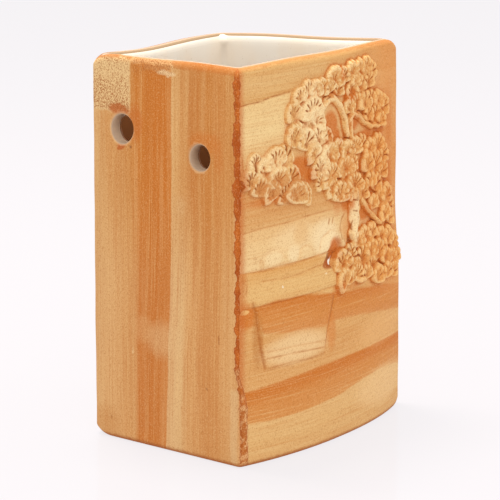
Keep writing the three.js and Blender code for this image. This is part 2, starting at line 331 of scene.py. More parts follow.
def wood_heights(stations, height):
    """A rolled and grooved length of clay through stations of X, Z and half width."""
    best = np.full(GRID_X.shape, BELOW)
    for (x0, z0, r0), (x1, z1, r1) in zip(stations, stations[1:]):
        length = math.hypot(x1 - x0, z1 - z0)
        ux, uz = (x1 - x0) / length, (z1 - z0) / length
        along = np.clip(((GRID_X - x0) * ux + (GRID_Z - z0) * uz) / length, 0, 1)
        near_x, near_z = x0 + along * (x1 - x0), z0 + along * (z1 - z0)
        radius = r0 + along * (r1 - r0)
        across = (GRID_Z - near_z) * ux - (GRID_X - near_x) * uz
        inset = radius - np.hypot(GRID_X - near_x, GRID_Z - near_z)
        bark = 0.3 * np.cos(across / radius * 4.6 + 1.2 * along) * np.clip(inset / 0.5, 0, 1)
        best = np.maximum(best, pillow(inset + 0.25 * np.sin(GRID_Z * 1.1 + GRID_X), height, radius) + bark)
    return best


def polygon_inset(corners):
    """How far inside a convex outline, listed counterclockwise, each point of the map is."""
    inset = np.full(GRID_X.shape, 1e3)
    for (x0, z0), (x1, z1) in zip(corners, corners[1:] + corners[:1]):
        length = math.hypot(x1 - x0, z1 - z0)
        edge = ((x1 - x0) * (GRID_Z - z0) - (z1 - z0) * (GRID_X - x0)) / length
        inset = np.minimum(inset, edge)
    return inset


def line_mask(points, width):
    """How near each point of the map is to a line of points: 1 on it, falling off over its width."""
    best = np.zeros(GRID_X.shape)
    for (x0, z0), (x1, z1) in zip(points, points[1:]):
        length_squared = (x1 - x0) ** 2 + (z1 - z0) ** 2
        along = ((GRID_X - x0) * (x1 - x0) + (GRID_Z - z0) * (z1 - z0)) / length_squared
        along = np.clip(along, 0, 1)
        gap = np.hypot(GRID_X - x0 - along * (x1 - x0), GRID_Z - z0 - along * (z1 - z0))
        best = np.maximum(best, np.exp(-((gap / width) ** 2)))
    return best


# Needle fans of each foliage pad: X, Z, radius and the way each spreads, in degrees from +X
FOLIAGE = {
    "foliage_top_left": [
        (65, 141, 5, 92), (71.5, 141, 4, 81), (60, 137.5, 3, 108), (68, 136, 3.5, 86),
    ],
    "foliage_top_right": [
        (79, 142, 4, 94), (85, 141.5, 4.5, 90), (91, 143, 4, 86), (95.5, 141, 4, 76),
        (81, 138, 3, 90), (77, 134.5, 4, 122), (85, 136, 4, 90), (93, 137, 4, 90),
    ],
    "foliage_right_upper": [
        (75, 128.5, 3.5, 104), (81, 129.5, 4.5, 94), (88, 129.5, 4.5, 90), (94.5, 129.5, 4.5, 88),
        (101, 128.5, 4, 81), (105.5, 125.5, 4.5, 63), (91, 124, 4, 86), (98, 123, 4.5, 81),
        (103, 120.5, 3.5, 68),
    ],
    "foliage_left_upper": [
        (34, 131, 4.5, 117), (38, 136.5, 3.5, 104), (44.5, 137.5, 4.5, 92), (50, 138, 4, 88),
        (55, 138.5, 3.5, 81), (46, 131, 5, 90), (41, 127, 4.5, 122), (50.5, 127, 4.5, 63),
        (34.5, 121.5, 5, 94), (42, 119.5, 5, 76), (51, 120, 5, 92), (46, 114, 3.5, 122),
        (57, 119.5, 4, 76),
    ],
    "foliage_left_lower": [
        (5, 109, 4, 104), (8.5, 115, 3.5, 94), (14, 112, 4.5, 99), (11, 105.5, 4.5, 90),
        (20, 115, 4.5, 92), (26.5, 115.5, 5, 86), (22, 108, 5, 94), (17.5, 103, 4.5, 122),
        (32, 107, 4.5, 63), (26, 101, 4.5, 90), (34, 100.5, 5, 76), (39.5, 100, 5, 58),
    ],
    "foliage_centre": [
        (50.5, 108.5, 4.5, 117), (51, 102.5, 3.5, 122), (58.5, 112.5, 5, 90), (65.5, 112.5, 5, 88),
        (57.5, 104, 4.5, 122), (62.5, 106, 5, 90), (70, 106, 5, 90), (59, 99, 4, 122),
        (66, 96.5, 5, 92), (71.5, 96, 4.5, 76), (72, 112, 4, 90), (71, 101, 4, 86),
        (78, 99, 4.5, 81), (77, 93.5, 3.5, 76), (84.5, 94.5, 4.5, 76), (76.5, 106.5, 4, 76),
    ],
    "foliage_right_middle": [
        (78.5, 112.5, 4, 90), (84.5, 113, 4.5, 90), (91, 111, 4, 86), (99.5, 111, 5, 90),
        (105.5, 107, 4, 63), (97, 104, 5, 90), (88.5, 105, 4.5, 86), (104, 100.5, 4.5, 63),
        (91, 98, 4, 86), (96.5, 96, 4.5, 76),
    ],
    "foliage_right_lower": [
        (93, 88.5, 4, 94), (99.5, 89, 4.5, 90), (106.5, 90, 4.5, 81), (111, 85.5, 4, 58),
        (104, 83, 4.5, 90), (110, 80, 3.5, 63),
    ],
    "foliage_foot_left": [
        (65, 70, 5, 99), (72, 71, 4.5, 81), (64.5, 62.2, 4.5, 126), (70.5, 62.5, 4, 90),
        (76, 63.5, 4.5, 58), (70, 66.5, 3.5, 90),
    ],
    "foliage_foot_middle": [
        (78.5, 76, 4, 104), (85, 76.5, 4.5, 90), (91, 77.5, 3.5, 86), (82, 69.5, 5, 90),
        (89.5, 71, 4.5, 90), (95.5, 69.5, 5, 86), (84, 62, 4, 99), (90, 64.5, 4, 90),
        (94.5, 59.5, 4.5, 86),
    ],
    "foliage_foot_right": [
        (99, 74, 4.5, 94), (106, 73, 4.5, 86), (112.5, 70.5, 4, 76), (103, 66, 4.5, 90),
        (110, 63.5, 5, 76), (103.5, 59.5, 4, 90), (111.5, 58.5, 4, 76), (115.8, 64, 3.2, 68),
    ],
}

# Trunk and branches: X, Z and half width along each, and how far each stands out
WOOD = {
    "pine_trunk": (2.1, [
        (77.5, 92, 4.3), (76.6, 87.7, 4.7), (76.6, 84.6, 4.4), (76.4, 82, 3.2),
        (75.1, 79.6, 2.8), (74, 77.8, 2.8),
    ]),
    "branch_left_arch": (1.7, [
        (54.5, 129.5, 1.8), (58.8, 132.3, 1.9), (63.6, 132.4, 2.1), (68, 129.3, 2.1),
        (71.2, 124, 2.2), (73, 118, 2.4),
    ]),
    "branch_right_arch": (1.6, [
        (76.5, 112.5, 1.0), (75.4, 119, 1.7), (75.6, 123, 1.8), (77.8, 125, 1.6),
        (82.3, 123.6, 1.6), (87.2, 120.3, 1.6), (94, 118.2, 1.5), (101, 117.6, 1.3),
    ]),
    "branch_lower_right": (1.7, [(83, 90, 2), (88.4, 85.2, 1.7), (93.9, 81.6, 1.6), (99, 79, 1.2)]),
}

# Moss mounds on the soil line: middle, half width and rise
SOIL_LINE = 73.7
MOSS = {
    "moss_left": (22, 12, 6.5),
    "moss_middle": (40.5, 5.5, 5.5),
    "moss_right": (59.5, 10, 8.3),
}

PLANTER_TOP = 60.0
PLANTER_OUTLINE = [(13, 35), (49, 35), (58, PLANTER_TOP), (8, PLANTER_TOP)]
RIM_LOW = PLANTER_TOP + 0.2
RIM_HIGH = SOIL_LINE - 0.2
RIM_OUTLINE = [(1.5, RIM_LOW), (61, RIM_LOW), (61, RIM_HIGH), (1.5, RIM_HIGH)]


def foliage_heights(fans, first):
    """A pad's heights, and how dark the stain lies in the lines between its needles."""
    pad = np.full(GRID_X.shape, BELOW)
    lines = np.zeros(GRID_X.shape)
    for index, fan in enumerate(fans, first):
        inset, out, groove = fan_parts(*fan, index)
        heights = fan_heights(inset, out, groove, index)
        ink = (0.75 + 0.09 * (index % 4)) * needle_lines(out, groove, index)
        ink = ink + 0.35 * (1 - smooth(out, 0.05, 0.25))
        on_top = heights > pad
        lines = np.where(on_top, ink * (inset > 0), lines)
        pad = np.where(on_top, heights, pad)
    lumps = np.sin(GRID_X * 1.7 + 2 * np.sin(GRID_Z * 0.9))
    lumps = lumps * np.sin(GRID_Z * 2.1 + 2 * np.sin(GRID_X * 0.7))
    pad = pad + (0.22 - 0.12 * smooth(GRID_X, 70, 90)) * lumps * np.clip(pad, 0, 1)
    return blurred(pad, 0.2), blurred(lines, 0.16)


def moss_heights(middle, half_width, rise):
    reach = np.hypot((GRID_X - middle) / half_width, (GRID_Z - SOIL_LINE) / rise)
    inset = np.minimum((1 - reach) * min(half_width, rise), GRID_Z - SOIL_LINE)
    return pillow(inset, 0.55, 3.5)


def make_heights():
    """A map of heights for each sprig, and one map of the lines in their needles and bark."""
    maps = {}
    lines = np.zeros(GRID_X.shape)
    first = 0
    for name, fans in FOLIAGE.items():
        maps[name], ink = foliage_heights(fans, first)
        lines = np.maximum(lines, ink)
        first += len(fans)
    for name, (height, stations) in WOOD.items():
        maps[name] = wood_heights(stations, height)
    for name, shape in MOSS.items():
        maps[name] = moss_heights(*shape)
    for width, dark, points in BARK:
        lines = np.maximum(lines, dark * line_mask(points, width))
    maps["planter_rim"] = pillow(polygon_inset(RIM_OUTLINE), 0.7, 2.0)
    maps["planter_body"] = pillow(polygon_inset(PLANTER_OUTLINE), 0.45, 1.5)
    return maps, lines


# Lines scored in the clay: width, how dark stain lies in them, points of X and Z
SCORES = [
    (1.3, 0.46, [(6.5, 62), (8.7, 57.8), (9.9, 50), (11.6, 42.8), (13.2, 36.1)]),
    (0.8, 0.5, [(58.7, 56.5), (55.7, 49.9), (52.1, 44), (49.9, 37.9)]),
    (0.6, 0.4, [(13.7, 35.8), (27.5, 36.0), (40, 35.3), (49.1, 35.9)]),
    (0.5, 0.35, [(14, 42.2), (29.8, 41.8), (50, 40.5)]),
    (0.5, 0.4, [(14, 39.7), (29.6, 39.2), (49.3, 38)]),
    (0.5, 0.4, [(2, 73.7), (14, 73.2), (30, 73.2), (46, 73.8), (60, 74.2)]),
    (0.6, 0.4, [(12, 69.6), (24, 68.7), (34, 68.9), (46, 70), (53, 70)]),
    (0.45, 0.45, [(2, 88.6), (12, 89.3), (27, 89.3), (42, 89.9), (59, 90.1)]),
    (0.4, 0.65, [(0.4, 135.9), (6, 136.3), (14.3, 136.6), (22, 137.6), (33, 138)]),
    (0.45, 0.3, [(49.7, 75.6), (51.5, 79.9), (58.4, 82), (66.1, 79.6), (69, 75.5)]),
    (0.45, 0.3, [(35.4, 74.7), (36, 77.7), (40.1, 79), (44.1, 77.4), (45.2, 74.5)]),
    (0.45, 0.25, [(12.8, 75.4), (14, 79), (18.6, 80.5), (24, 78.5), (27, 75)]),
    (0.5, 0.65, [(57.3, 84.6), (58.0, 86.4)]),
    (0.5, 0.65, [(59.9, 84.4), (60.7, 86.5)]),
    (0.8, 0.35, [(2.9, 66), (3.3, 69.5)]),
    (0.7, 0.8, [(8.0, 111), (8.6, 116)]),
    (0.7, 0.7, [(4.2, 106), (4.4, 110.5)]),
    (0.5, 0.5, [(2.0, 117), (2.4, 112)]),
    (1.0, 0.6, [(72, 78), (70.8, 74), (66, 71)]),
    (0.7, 0.5, [(69.6, 86.6), (67.2, 85), (65.9, 82), (66.3, 77.5)]),
]
# Lines cut in the bark of the trunk and branches, given in the same way
BARK = [
    (0.4, 0.55, [(74.9, 91.5), (77.0, 91.1)]), (0.4, 0.5, [(77.8, 88.9), (79.4, 89.1)]),
    (0.4, 0.55, [(74.0, 87.4), (76.0, 87.0)]), (0.4, 0.4, [(76.6, 84.6), (78.0, 84.1)]),
    (0.4, 0.4, [(73.6, 83.6), (73.0, 80.0)]), (0.35, 0.45, [(57.0, 132.6), (60.4, 133.4)]),
    (0.35, 0.45, [(69.5, 128.6), (71.0, 124.6)]), (0.35, 0.4, [(84.0, 123.4), (87.6, 120.8)]),
]
# The hollow under the tree's left root
RECESS = [
    (50.2, 68.7), (54.1, 67.4), (59.2, 68.2), (64.8, 72.5), (66.3, 74.9), (62.7, 78.4), (56.5, 74.5),
]
RECESS_DEPTH = 2.4


def make_hollows():
    """Grooves and hollows in the front slab itself, and the stain in its scored lines."""
    hollows = np.zeros(GRID_X.shape)
    ink = np.zeros(GRID_X.shape)
    for width, dark, points in SCORES:
        line = line_mask(points, width)
        hollows = np.minimum(hollows, -0.4 * dark * line)
        ink = np.maximum(ink, 0.7 * dark * line)
    recess = -RECESS_DEPTH * np.clip(polygon_inset(RECESS) / 1.5, 0, 1) ** 0.5
    return np.minimum(blurred(hollows, 0.2), blurred(recess, 0.7)), ink


# Where orange stain pools between the boughs: X, Z, reach across, reach up, strength
POOL_SPOTS = [
    (61.5, 122, 5.5, 6, 1), (66, 117.5, 2.5, 3.5, 0.8), (79, 121.5, 4.5, 3.5, 1), (90, 115.5, 7, 2, 0.7),
    (38, 109, 6.5, 4.5, 0.9), (44, 105, 4, 3.5, 0.8), (76, 132, 4.5, 2.5, 0.9), (63, 134, 5, 1.8, 0.5),
    (70, 141, 2, 4, 0.6), (86, 85, 5, 3.5, 0.9), (92, 93, 4, 2, 0.6), (71, 90.5, 4.5, 3.5, 0.7),
    (64, 91, 4, 5, 0.35), (83, 103, 3, 3, 0.5), (99, 96, 5, 2, 0.5), (15, 99, 16, 2.2, 0.45),
    (60, 74.5, 3.6, 4.4, 1), (63, 58.5, 4.5, 3, 0.6), (74, 57.5, 7, 1.5, 0.4), (103, 115, 5, 2.5, 0.6),
    (110, 95, 5, 14, 0.55), (112, 118, 4, 16, 0.4), (30, 124, 2, 6, 0.3), (56, 116.5, 2, 2, 0.5),
]


def make_pools():
    pools = np.zeros(GRID_X.shape)
    for x, z, wide, tall, strength in POOL_SPOTS:
        reach = ((GRID_X - x) / wide) ** 2 + ((GRID_Z - z) / tall) ** 2
        pools = np.maximum(pools, strength * np.exp(-(reach**1.5)))
    return pools


HEIGHTS, LINES = make_heights()
HOLLOWS, INK = make_hollows()
LINES = np.maximum(LINES, INK)
SURFACE = np.maximum(HOLLOWS, np.max(list(HEIGHTS.values()), axis=0))
GROOVE = blurred(SURFACE, 0.9) - SURFACE
HOLLOW = blurred(SURFACE, 3.5) - SURFACE
POOLS = make_pools()


def read_map(heights, x, z):
    """A map's value at points, by straight-line interpolation."""
    u = np.clip((x - MAP_X[0]) / STEP, 0, len(MAP_X) - 1.001)
    v = np.clip((z - MAP_Z[0]) / STEP, 0, len(MAP_Z) - 1.001)
    i, j = u.astype(int), v.astype(int)
    fu, fv = u - i, v - j
    low = heights[j, i] * (1 - fu) + heights[j, i + 1] * fu
    high = heights[j + 1, i] * (1 - fu) + heights[j + 1, i + 1] * fu
    return low * (1 - fv) + high * fv


# ---- Meshes ----

SHARP_ANGLE = math.radians(50)


def make_object(name, points, faces):
    """An object from plan points, with its faces turned outwards."""
    mesh = bpy.data.meshes.new(name)
    mesh.from_pydata(in_frame(points).tolist(), [], faces)
    edit = bmesh.new()
    edit.from_mesh(mesh)
    bmesh.ops.recalc_face_normals(edit, faces=edit.faces)
    edit.to_mesh(mesh)
    edit.free()
    made = bpy.data.objects.new(name, mesh)
    bpy.context.scene.collection.objects.link(made)
    return made


def shade(mesh):
    mesh.shade_smooth()
    mesh.set_sharp_from_angle(angle=SHARP_ANGLE)


def make_piece(name, points, faces, material):
    piece = make_object(name + "_look", points, faces)
    shade(piece.data)
    piece.data.materials.append(material)
    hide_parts(name)
    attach(piece, "root")
    return piece


def skin_faces(rings, count):
    """The faces of a skin over rings of points, capped at both ends."""
    ring, place = np.meshgrid(np.arange(rings - 1), np.arange(count), indexing="ij")
    here = ring * count + place
    beside = ring * count + (place + 1) % count
    faces = np.stack((here, beside, beside + count, here + count), axis=-1).reshape(-1, 4).tolist()
    faces.append(list(range(count))[::-1])
    faces.append(list(range((rings - 1) * count, rings * count)))
    return faces


# Where each face's wobble starts
FRONT_PHASE = 0.7
RIGHT_PHASE = 1.9
BACK_PHASE = 3.1
LEFT_PHASE = 4.4


def wobble(a, b, phase):
    """Wall faces bulge and dip a little, as hand-rolled clay does."""
    return (
        0.16 * np.sin(a * 0.071 + phase) * np.cos(b * 0.053 + 2 * phase)
        + 0.08 * np.sin(a * 0.19 + b * 0.07 + 3 * phase)
        + 0.05 * np.cos(b * 0.23 - a * 0.05 + phase)
    )


# Rounded edges of a wall: how far each reaches in, and how far up or down
RIM_OUTER = (2.2, 2.8)
RIM_INNER = (1.3, 2.2)
FOOT_ROUND = (1.6, 2.0)
QUARTER = np.linspace(0, math.pi / 2, 7)


def rounded_edge(z, reach, height, angles, inner):
    return [(z + height * (1 - math.sin(a)), reach * (1 - math.cos(a)), inner) for a in angles]


def wall_profile(step):
    """Stations round a wall's section, from the outer foot over the rim to the inner foot: Z, how far
    in, and whether the station is on the inner face."""
    foot = rounded_edge(0, *FOOT_ROUND, QUARTER[::-1], False)
    low, high = FOOT_ROUND[1], HEIGHT - RIM_OUTER[1]
    face = [(z, 0.0, False) for z in np.linspace(low, high, int((high - low) / step))[1:-1]]
    rim = rounded_edge(HEIGHT, RIM_OUTER[0], -RIM_OUTER[1], QUARTER, False)
    lip = rounded_edge(HEIGHT, RIM_INNER[0], -RIM_INNER[1], QUARTER[::-1], True)
    back = [(z, 0.0, True) for z in np.linspace(HEIGHT - RIM_INNER[1], 0, 24)[1:]]
    return foot + face + rim + lip + back


# How far below the rim its unevenness fades out
RIM_FADE = 12


def rim_drop(x, y):
    """How far the rim sinks below its full height: rounded at the outer corners, uneven between."""
    drop = 0.25 + 0.25 * np.sin(x * 0.09 + 1.3) * np.cos(y * 0.11 + 0.4)
    for (cx, cy), depth in ((PLAN[LEFT], 2.2), (PLAN[RIGHT], 1.9), (PLAN[BACK], 0.4)):
        drop = drop + depth * np.exp(-(((x - cx) ** 2 + (y - cy) ** 2) / 18))
    return drop + 1.1 * smooth(y, DEPTH - 12, DEPTH - 6) * np.exp(-(((x - 50) / 26) ** 2))


def foot_lift(x, y):
    """How far the foot rises off the ground under its two rounded corners."""
    lift = 0.0
    for (cx, cy), height in ((PLAN[LEFT], 2.4), (PLAN[RIGHT], 2.2)):
        lift = lift + height * np.exp(-(((x - cx) ** 2 + (y - cy) ** 2) / 16))
    return lift


def from_side(index, x, y):
    """Distance in from a side's face, and distance along it from the corner where it starts."""
    start, along, inward, _ = side_of(index)
    dx, dy = x - start[0], y - start[1]
    return dx * inward[0] + dy * inward[1], dx * along[0] + dy * along[1]


SEAM_WIDTH = 2.5


def seam_edges(z):
    """The ragged front left seam's edges at each height: how far it reaches along the flank, and along
    the front. Near the foot it runs round the corner."""
    ragged = (
        0.3 * np.sin(z * 0.31 + 1.0)
        + 0.3 * np.sin(z * 0.83 + 2.2)
        + 0.26 * np.sin(z * 1.71 + 0.4)
        + 0.16 * np.sin(z * 3.3 + 1.9)
    )
    blobs = (
        1.1 * np.exp(-(((z - 123.5) / 1.6) ** 2))
        + 0.8 * np.exp(-(((z - 105.5) / 1.8) ** 2))
        + 0.9 * np.exp(-(((z - 53.5) / 1.5) ** 2))
    )
    foot = 1 - smooth(z, 22, 38)
    return SEAM_WIDTH * (1 - 1.1 * foot) + ragged + blobs, 0.7 + 3.2 * foot + 0.4 * ragged


def seam_depth(x, y, z):
    """How far inside the ragged seam a point is."""
    flank, along = from_side(LEFT, x, y)
    on_flank = flank < y - front_face(x, z)
    # Distance from the front left corner, positive along the flank and negative along the front
    place = np.where(on_flank, side_of(LEFT)[3] - along, -np.maximum(x, 0))
    flank_edge, front_edge = seam_edges(z)
    return np.minimum(flank_edge - place, place + front_edge)


def outward(points, outer):
    """Face relief: how far each point of an outer face stands out."""
    x, y, z = points[..., 0], points[..., 1], points[..., 2]
    front = y - front_face(x, z)
    insets = [front] + [from_side(index, x, y)[0] for index in (RIGHT, BACK, LEFT)]
    relief = np.choose(np.argmin(np.abs(insets), axis=0), [
        read_map(HOLLOWS, x, z) + wobble(x, z, FRONT_PHASE),
        wobble(y, z, RIGHT_PHASE),
        wobble(x, z, BACK_PHASE),
        wobble(y, z, LEFT_PHASE),
    ])
    relief = relief + 0.5 * smooth(seam_depth(x, y, z), -0.4, 1.2)
    fade = smooth(z, 0.5, 6) * (1 - smooth(z, HEIGHT - 4, HEIGHT))
    return relief * outer * fade


def make_wall(name, path_at, material, step):
    """A wall swept along a path, which path_at gives for each distance in from the outer face."""
    profile = wall_profile(step)
    columns = []
    for z, inset, inner in profile:
        x, y = path_at(WALL - inset if inner else inset, inner).T
        height = z - rim_drop(x, y) * smooth(z, HEIGHT - RIM_FADE, HEIGHT)
        height = height + foot_lift(x, y) * (1 - smooth(z, 0, 10))
        columns.append(bowed(x, y, height))
    points = np.stack(columns, axis=1)
    outer = np.array([0.0 if inner else 1.0 for _, _, inner in profile])
    tangent = np.gradient(points, axis=0)
    normal = np.stack((tangent[..., 1], -tangent[..., 0], 0 * tangent[..., 0]), axis=-1)
    normal /= np.linalg.norm(normal, axis=-1, keepdims=True)
    points = points + normal * outward(points, outer[None, :])[..., None]
    return make_piece(name, points.reshape(-1, 3), skin_faces(*points.shape[:2]), material)


def seam_reach(index):
    """How far a corner's seam reaches along the walls on both sides of it."""
    return FRONT_SEAM if index % 4 in (FRONT, RIGHT) else BACK_SEAM


def slab_path(index, columns):
    end = side_of(index)[3] - seam_reach(index + 1)
    distances = np.linspace(seam_reach(index), end, columns)
    return lambda inset, inner: on_side(index, distances, inset)


def seam_path(index, radius, flat_columns):
    reach = seam_reach(index)
    before = index + 3

    def path_at(inset, inner):
        arc = rounded_corner(index, inset, INNER_RADIUS if inner else radius, 10)
        first = on_side(before, side_of(before)[3] - reach, inset)
        last = on_side(index, reach, inset)
        t = np.linspace(0, 1, flat_columns)[:, None]
        lead = first + (arc[0] - first) * t
        tail = arc[-1] + (last - arc[-1]) * t
        return np.concatenate((lead[:-1], arc, tail[1:]))

    return path_at


def plan_ring(inset, radius, z):
    """The inside of the plan as one closed ring."""
    points = []
    for index in range(4):
        points.append(rounded_corner(index, inset, radius, 9))
        distances = np.linspace(16, side_of(index)[3] - 16, 40 if index == FRONT else 24)
        points.append(on_side(index, distances, inset))
    ring = np.concatenate(points)
    return bowed(ring[:, 0], ring[:, 1], np.full(len(ring), float(z)))


def spool(along, up, radius, start, end, flare):
    """A closed rod with flared ends that cuts a hole with rounded lips, from start to end in from the
    outer face."""
    place = on_side(LEFT, along, 0)
    inward = side_of(LEFT)[2]
    overshoot = 4
    sections = [(start - overshoot, radius + flare)]
    sections += [(start + flare * math.sin(a), radius + flare * (1 - math.sin(a))) for a in QUARTER]
    sections += [(end - flare * math.sin(a), radius + flare * (1 - math.sin(a))) for a in QUARTER[::-1]]
    sections += [(end + overshoot, radius + flare)]
    turn = np.linspace(0, 2 * math.pi, HOLE_SIDES, endpoint=False)
    uneven = 1 + 0.02 * np.sin(2 * turn + up) + 0.012 * np.cos(3 * turn + along)
    across = np.array((-inward[1], inward[0]))
    points = []
    for depth, size in sections:
        for angle, wide in zip(turn, uneven):
            plan = place + inward * depth + across * (size * wide * math.cos(angle))
            points.append((plan[0], plan[1], up + size * wide * math.sin(angle)))
    return make_object("cutter", points, skin_faces(len(sections), HOLE_SIDES))


def cut_holes(piece, start, end, flare, extra=0.0):
    for along, up, radius in HOLES:
        cutter = spool(along, up, radius + extra, start, end, flare)
        modifier = piece.modifiers.new("hole", "BOOLEAN")
        modifier.operation = "DIFFERENCE"
        modifier.solver = "EXACT"
        modifier.object = cutter
        bpy.context.view_layer.update()
        evaluated = piece.evaluated_get(bpy.context.evaluated_depsgraph_get())
        mesh = bpy.data.meshes.new_from_object(evaluated)
        piece.modifiers.clear()
        old = piece.data
        piece.data = mesh
        bpy.data.meshes.remove(old)
        bpy.data.objects.remove(cutter)
    shade(piece.data)


def make_lining(material):
    """The glaze inside: a thin cup that rolls over on to the rim's inner edge."""
    inner = WALL + GLAZE
    outer = WALL - 0.05
    low = FLOOR + 0.1
    centre = plan_ring(outer, GLAZE_RADIUS, low).mean(0)
    rings = [centre + (plan_ring(outer, INNER_RADIUS, low) - centre) * t for t in (0.05, 0.5, 0.9, 1.0)]
    for z in np.linspace(FLOOR + 3, HEIGHT - 3.2, 20):
        rings.append(plan_ring(outer, INNER_RADIUS, z))
    for inset, below, radius in GLAZE_LIP:
        rings.append(plan_ring(inset, radius, HEIGHT - below))
    for z in np.linspace(HEIGHT - 5, FLOOR + 7, 24):
        deeper = smooth(HEIGHT - z, 0, 10)
        rings.append(plan_ring(inner, GLAZE_RADIUS * (0.6 + 0.4 * deeper), z))
    for a in np.linspace(0, math.pi / 2, 8)[1:]:
        inset = inner + GLAZE_FILLET * (1 - math.cos(a))
        rings.append(plan_ring(inset, GLAZE_RADIUS, FLOOR + GLAZE + GLAZE_FILLET * (1 - math.sin(a))))
    last = rings[-1]
    centre = last.mean(0)
    rings += [centre + (last - centre) * t for t in (0.9, 0.5, 0.05)]

    rings = np.array(rings)
    x, y, z = rings[..., 0], rings[..., 1], rings[..., 2]
    rings[..., 2] = z - rim_drop(x, y) * smooth(z, HEIGHT - RIM_FADE, HEIGHT)
    faces = skin_faces(*rings.shape[:2])
    piece = make_piece("glaze_lining", rings.reshape(-1, 3), faces, material)
    cut_holes(piece, WALL - 0.4, WALL + GLAZE, 0.45, extra=0.15)
    return piece


def make_floor_slab(material):
    """The floor between the walls, with a softened edge underneath."""
    inset = WALL + 0.02
    levels = [(FLOOR, 0.0), (0.6, 0.0), (0.18, 0.2), (0.0, 0.7)]
    rings = [plan_ring(inset + extra, INNER_RADIUS, z) for z, extra in levels]
    last = rings[-1]
    centre = last.mean(0)
    rings += [centre + (last - centre) * t for t in (0.8, 0.4, 0.05)]
    rings = np.array(rings)
    faces = skin_faces(*rings.shape[:2])
    return make_piece("floor_slab", rings.reshape(-1, 3), faces, material)


def cell_corners(values):
    """The map's values at the four corners of each of its cells."""
    return np.stack((values[:-1, :-1], values[1:, :-1], values[:-1, 1:], values[1:, 1:]))


def owned_cells():
    """Which cells of the map each sprig is kept in: where it stands highest, and a little round that."""
    top = np.max(list(HEIGHTS.values()), axis=0)
    cells = {}
    for name, heights in HEIGHTS.items():
        near = blurred((heights > top - 0.05).astype(float), 0.4) > 0.02
        cells[name] = cell_corners(near).all(axis=0)
    return cells


OWNED_CELLS = owned_cells()
SPRIG_DEPTH = 0.7


def make_sprig(name, heights, material):
    """A sprig as a closed skin over its map of heights, sunk a little into the front slab."""
    kept = (cell_corners(heights).max(axis=0) > -0.3) & OWNED_CELLS[name]
    rows, columns = np.nonzero(kept)
    width = heights.shape[1]
    corners = np.stack((
        rows * width + columns,
        rows * width + columns + 1,
        (rows + 1) * width + columns + 1,
        (rows + 1) * width + columns,
    ), axis=-1)
    used, index = np.unique(corners, return_inverse=True)
    quads = index.reshape(corners.shape)
    x, z = GRID_X.ravel()[used], GRID_Z.ravel()[used]
    slope = front_face(x + 0.5, z) - front_face(x - 0.5, z)
    normal = np.stack((slope, -np.ones_like(slope), 0 * slope), axis=-1)
    normal /= np.linalg.norm(normal, axis=-1, keepdims=True)
    base = np.stack((x, front_face(x, z), z), axis=-1) + normal * wobble(x, z, FRONT_PHASE)[:, None]
    height = np.maximum(heights.ravel()[used], -0.45)
    if not name.startswith("foliage"):
        height = height + np.minimum(read_map(HOLLOWS, x, z), 0) * (height > 0)
    top = base + normal * height[:, None]
    bottom = base - normal * SPRIG_DEPTH
    count = len(used)
    faces = quads.tolist()
    faces += (quads[:, ::-1] + count).tolist()
    edges = np.concatenate([quads[:, (a, (a + 1) % 4)] for a in range(4)])
    key = np.sort(edges, axis=1)
    _, first, times = np.unique(key, axis=0, return_index=True, return_counts=True)
    for a, b in edges[first[times == 1]]:
        faces.append((int(b), int(a), int(a) + count, int(b) + count))
    return make_piece(name, np.concatenate((top, bottom)), faces, material)


# ---- What the materials read from each piece's points ----

# Edges of the front's brush strokes: the height that each is drawn level at in the material, and its
# own heights at some distances along the front
STROKE_EDGES = [
    (0, [(0, 0), (FRONT_WIDTH, 0)]),
    (18, [
        (0, 16.3), (17, 15.8), (37, 16.0), (50, 16.9), (60, 17.5), (79.5, 19.5), (94, 20.4),
        (105, 19.8), (116, 18.3), (FRONT_WIDTH, 17.3),
    ]),
    (30, [(0, 28.2), (17.6, 29.3), (39.7, 30.7), (56, 31.1), (95, 31.2), (FRONT_WIDTH, 30.5)]),
    (48, [
        (0, 53.7), (8.2, 52.9), (12.7, 49.6), (28, 47.3), (50, 46.0), (54.9, 47.4), (75.8, 45.6),
        (116, 40.9), (FRONT_WIDTH, 40.0),
    ]),
    (58, [
        (0, 60.0), (9.2, 60.3), (18.7, 61.0), (39.4, 60.2), (58.2, 57.9), (65.8, 56.3), (76.6, 56.1),
        (91.3, 54.8), (105, 53.0), (FRONT_WIDTH, 50.0),
    ]),
    (74, [(0, 73.8), (25, 73.3), (61, 74.0), (FRONT_WIDTH, 74)]),
    (90, [(0, 89), (27, 89.3), (58, 90.1), (FRONT_WIDTH, 91)]),
    (136, [(0, 135.9), (14.3, 136.6), (29.6, 137.9), (FRONT_WIDTH, 139)]),
    (150, [(0, HEIGHT), (FRONT_WIDTH, HEIGHT)]),
]


def levelled(x, z):
    """Z with the front's slanting stroke edges drawn level."""
    edges = np.stack([np.interp(x, *zip(*points)) for _, points in STROKE_EDGES])
    levels = np.array([level for level, _ in STROKE_EDGES], float)
    result = np.zeros_like(z)
    for k in range(len(levels) - 1):
        t = (z - edges[k]) / (edges[k + 1] - edges[k])
        inside = (t >= 0) if k == len(levels) - 2 else (t >= 0) & (t < 1)
        result = np.where(inside, levels[k] + t * (levels[k + 1] - levels[k]), result)
    return result


# How much of the flank its strokes are given over, and where the dark stroke's edge is drawn upright
FLANK_LENGTH = 75.5
STROKE_AT = 41
# That edge drifts towards the foot: height, distance along
FLANK_DRIFT = [(0, 37.2), (40, 38.0), (62, 39.6), (90, 40.8), (HEIGHT, 41.0)]


